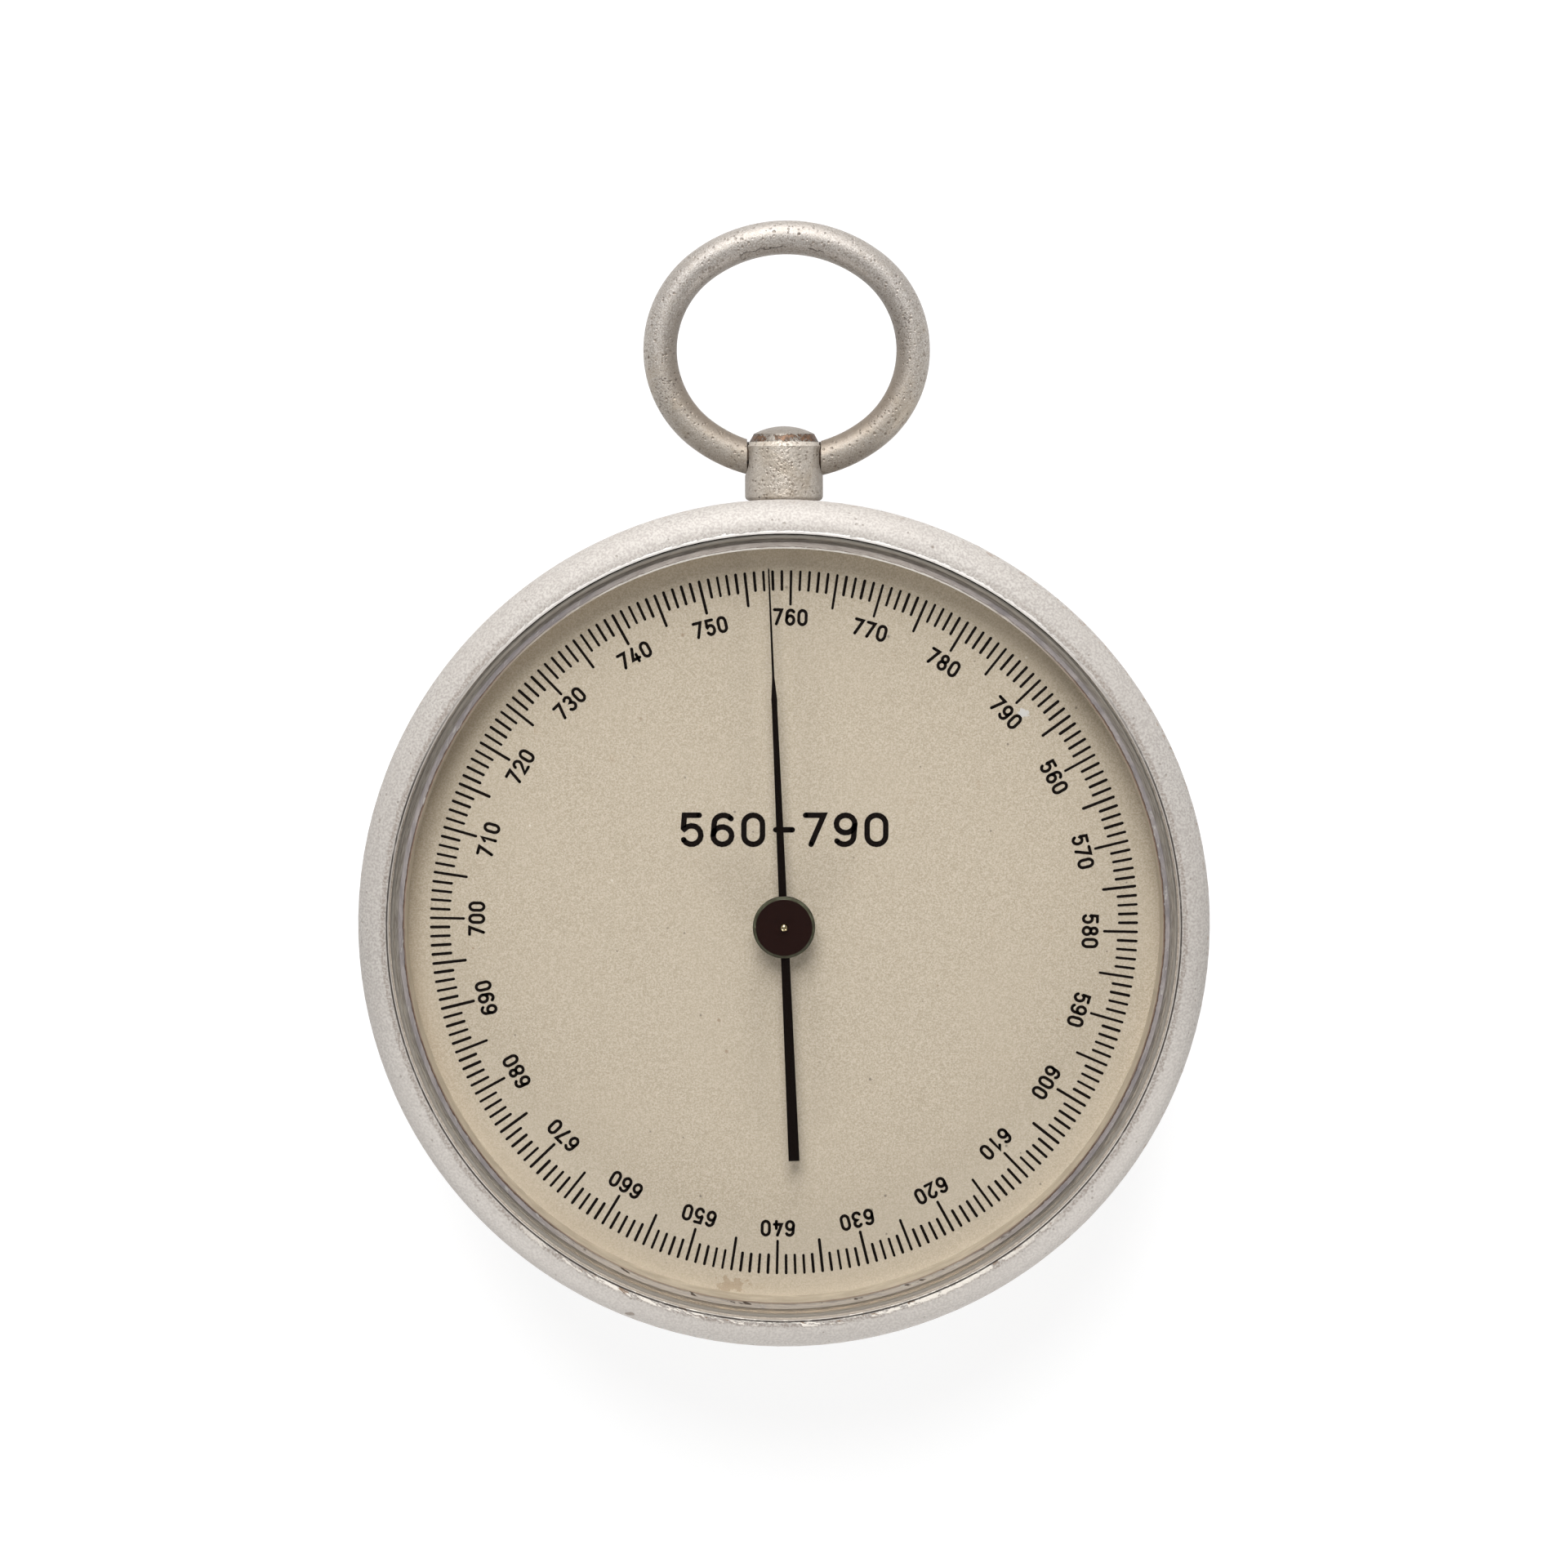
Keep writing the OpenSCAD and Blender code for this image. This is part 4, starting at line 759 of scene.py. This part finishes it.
class Ink:
    """Collects flat strokes and turns them into one thin mesh on the dial."""

    def __init__(self):
        self.bm = bmesh.new()

    def vertex(self, place, rise):
        return self.bm.verts.new((place[0] * MM, place[1] * MM, (DIAL_Z + rise) * MM))

    def slab(self, outline):
        """Closed slab over an outline."""
        top = [self.vertex(place, INK_RISE) for place in outline]
        low = [self.vertex(place, -INK_SINK) for place in outline]
        self.bm.faces.new(top)
        self.bm.faces.new(low[::-1])
        for i in range(len(outline)):
            j = (i + 1) % len(outline)
            self.bm.faces.new((top[j], top[i], low[i], low[j]))

    def line(self, a, b, width):
        self.slab(stroke_outline(a, b, width))

    def dot(self, p, width):
        self.slab(arc(*p, width / 2, width / 2, 0, 360, 2 * ROUND_STEPS)[:-1])

    def curve(self, points, width):
        """Closed ribbon along a centre line, with round ends where it doesn't close."""
        closed = math.dist(points[0], points[-1]) < 1e-6
        points = points[:-1] if closed else points
        rows = []
        for left, right in zip(*ribbon_sides(points, width, closed)):
            corners = ((left, INK_RISE), (right, INK_RISE), (right, -INK_SINK), (left, -INK_SINK))
            rows.append([self.vertex(place, rise) for place, rise in corners])
        count = len(rows)
        for i in range(count if closed else count - 1):
            a, b = rows[i], rows[(i + 1) % count]
            for k in range(4):
                self.bm.faces.new((a[k], b[k], b[(k + 1) % 4], a[(k + 1) % 4]))
        if not closed:
            self.bm.faces.new(rows[0])
            self.bm.faces.new(rows[-1][::-1])
            self.dot(points[0], width)
            self.dot(points[-1], width)

    def text(self, text, place, wide, high, pitch, width):
        """Digits in a row whose middle is the origin of place."""
        for i, letter in enumerate(text):
            shift = (i - (len(text) - 1) / 2) * pitch
            for path in DIGITS[letter]:
                self.curve([place(shift + x * wide, y * high) for x, y in path], width)

    def piece(self, name, material):
        new_piece(name, self.bm, material, "case")


def on_dial(angle, radius):
    """Place on the dial from an angle and a radius."""
    return radius * math.sin(math.radians(angle)), radius * math.cos(math.radians(angle))


def local_place(angle, radius, tilt):
    """Maps a point beside a numeral's middle, upright outwards, to the dial."""
    cx, cy = on_dial(angle, radius)
    sine = math.sin(math.radians(angle + tilt))
    cosine = math.cos(math.radians(angle + tilt))
    return lambda x, y: (cx + x * cosine + y * sine, cy - x * sine + y * cosine)


ink = ink_black()
scale = Ink()
for i in range(TICKS):
    angle = DIAL_TURN + i * TICK_PITCH
    length = TICK_SHORT if i % TICKS_PER_MARK else TICK_LONG
    inner = TICK_OUT - length + rng.uniform(-0.05, 0.05)
    width = TICK_WIDTH * rng.uniform(0.88, 1.08)
    scale.line(on_dial(angle, TICK_OUT - width / 2), on_dial(angle, inner + width / 2), width)
scale.piece("scale_ticks", ink)

numerals = Ink()
for value in range(FIRST_VALUE, LAST_VALUE + 1, VALUE_STEP):
    angle = DIAL_TURN + (value - TOP_VALUE) * TICK_PITCH
    place = local_place(angle, NUMERAL_R + rng.uniform(-0.08, 0.08), rng.uniform(-0.6, 0.6))
    numerals.text(str(value), place, NUMERAL_W, NUMERAL_H, NUMERAL_PITCH, NUMERAL_STROKE)
numerals.piece("scale_numerals", ink)

title = Ink()
title_text = f"{FIRST_VALUE}-{LAST_VALUE}"
title.text(title_text, lambda x, y: (x, RANGE_Y + y), RANGE_W, RANGE_H, RANGE_PITCH, RANGE_STROKE)
title.piece("range_numerals", ink)


def turned_piece(name, body, material, section, steps, place):
    """Closed piece made by turning a section of (along, radius) points; place puts a point in the frame."""
    bm = bmesh.new()
    rows = []
    for i in range(steps):
        turn = 2 * math.pi * i / steps
        spots = [place(along, r * math.cos(turn), r * math.sin(turn)) for along, r in section]
        rows.append([bm.verts.new([v * MM for v in spot_at]) for spot_at in spots])
    for i in range(steps):
        a, b = rows[i], rows[(i + 1) % steps]
        for k in range(len(section)):
            n = (k + 1) % len(section)
            bm.faces.new((a[k], b[k], b[n], a[n]))
    new_piece(name, bm, material, body)


def box_section(a0, a1, r0, r1):
    return [(a0, r0), (a0, r1), (a1, r1), (a1, r0)]


# Dark shims in the gaps between the bow and the pendant: grime, and painted shade of the gaps
SHIM_R = 1.5
SHIM_EYE = 0.86
SHIM_NEAR = 3.34
SHIM_FAR = 3.5
SHIM_STEPS = 32

dirt_and_shade = grime()
bow_joint = next(joint for joint in frame["joints"] if joint["name"] == "bow_swing")
hinge = [v / MM for v in bow_joint["pos_m"]]
for name, side in (("gap_grime_and_shade_left", -1), ("gap_grime_and_shade_right", 1)):
    section = box_section(side * SHIM_NEAR, side * SHIM_FAR, SHIM_EYE, SHIM_R)
    turned_piece(name, "bow", dirt_and_shade, section, SHIM_STEPS,
                 lambda along, u, v: (along, hinge[1] + u, hinge[2] + v))

# Seam between the bezel and the glass
SEAM_W = 0.12
SEAM_H = 0.03
SEAM_STEPS = 192

glass_top = top_of("crystal", 2)
turned_piece("crystal_seam", "case", seam_paint(),
             box_section(glass_top, glass_top + SEAM_H, LIP_R - SEAM_W, LIP_R), SEAM_STEPS,
             lambda along, u, v: (u, v, along))

# Floor: grey for the light it throws back, white where it is seen
FLOOR_REACH = 3.0
FLOOR_Z = -0.0002
FLOOR_TONE = 0.3
FLOOR_SEEN = 1.04


def seen_directly(g):
    """The light path's outputs, and 1 for rays that show a surface rather than light it."""
    path = g.node("LightPath").outputs
    return path, g.most(path["Is Camera Ray"], path["Is Glossy Ray"], path["Is Transmission Ray"])


def add_floor():
    mesh = bpy.data.meshes.new("floor")
    corners = [(x * FLOOR_REACH, y * FLOOR_REACH, 0) for x, y in ((-1, -1), (1, -1), (1, 1), (-1, 1))]
    mesh.from_pydata(corners, [], [(0, 1, 2, 3)])
    floor = bpy.data.objects.new("floor", mesh)
    floor.location.z = FLOOR_Z
    bpy.context.scene.collection.objects.link(floor)
    g = Graph("floor_finish")
    seen = seen_directly(g)[1]
    g.shader.inputs["Base Color"].default_value = (FLOOR_TONE, FLOOR_TONE, FLOOR_TONE, 1)
    g.shader.inputs["Roughness"].default_value = 0.9
    g.shader.inputs["Emission Color"].default_value = (1, 1, 1, 1)
    g.put(g.shader.inputs["Emission Strength"], g.times(seen, FLOOR_SEEN - FLOOR_TONE))
    mesh.materials.append(g.material)


def add_world():
    """Soft light, strongest from the horizon and dimmer from the left and right; white to the camera."""
    world = bpy.data.worlds.new("world")
    world.use_nodes = True
    bpy.context.scene.world = world
    g = Nodes(world.node_tree)
    split = g.node("SeparateXYZ")
    g.put(split.inputs[0], g.node("TexCoord").outputs["Generated"])
    across, _, up = split.outputs
    path, seen = seen_directly(g)
    pick = g.node("Mix")
    g.put(pick.inputs[0], seen)
    g.put(pick.inputs[2], g.band(up, 0.0, 0.7, 1.02, 0.32))
    g.put(pick.inputs[3], g.band(up, 0.15, 0.75, 1.0, 0.45))
    dim = g.band(g.math("ABSOLUTE", across), 0.3, 0.9, 1.0, 0.6, curve="LINEAR")
    back = world.node_tree.nodes["Background"]
    back.inputs["Color"].default_value = (1, 1, 1, 1)
    g.put(back.inputs["Strength"], g.most(g.times(pick.outputs[0], dim), path["Is Camera Ray"]))


# Lamps: name, turn anticlockwise from the bow's side and lean off the dial's axis in degrees,
# diameter in metres, power in watts
LAMP_AWAY = 0.9
LAMP_AIM = (0, 0, 0.02)
LAMPS = (
    ("key", 7, 46, 0.62, 8.9),
    ("low_top", 0, 72, 0.3, 3.0),
    ("low_left", 145, 72, 0.3, 2.7),
    ("low_right", -135, 72, 0.3, 2.95),
)


def add_lamp(name, turn, off, size, power):
    data = bpy.data.lights.new(name, "AREA")
    data.shape = "DISK"
    data.size = size
    data.energy = power
    turn, off = math.radians(turn), math.radians(off)
    flat = LAMP_AWAY * math.sin(off)
    way = (-flat * math.sin(turn), flat * math.cos(turn), LAMP_AWAY * math.cos(off))
    obj = bpy.data.objects.new(name, data)
    obj.location = [LAMP_AIM[i] + way[i] for i in range(3)]
    obj.rotation_euler = (off, 0, math.pi + turn)
    bpy.context.scene.collection.objects.link(obj)


add_floor()
add_world()
for lamp in LAMPS:
    add_lamp(*lamp)
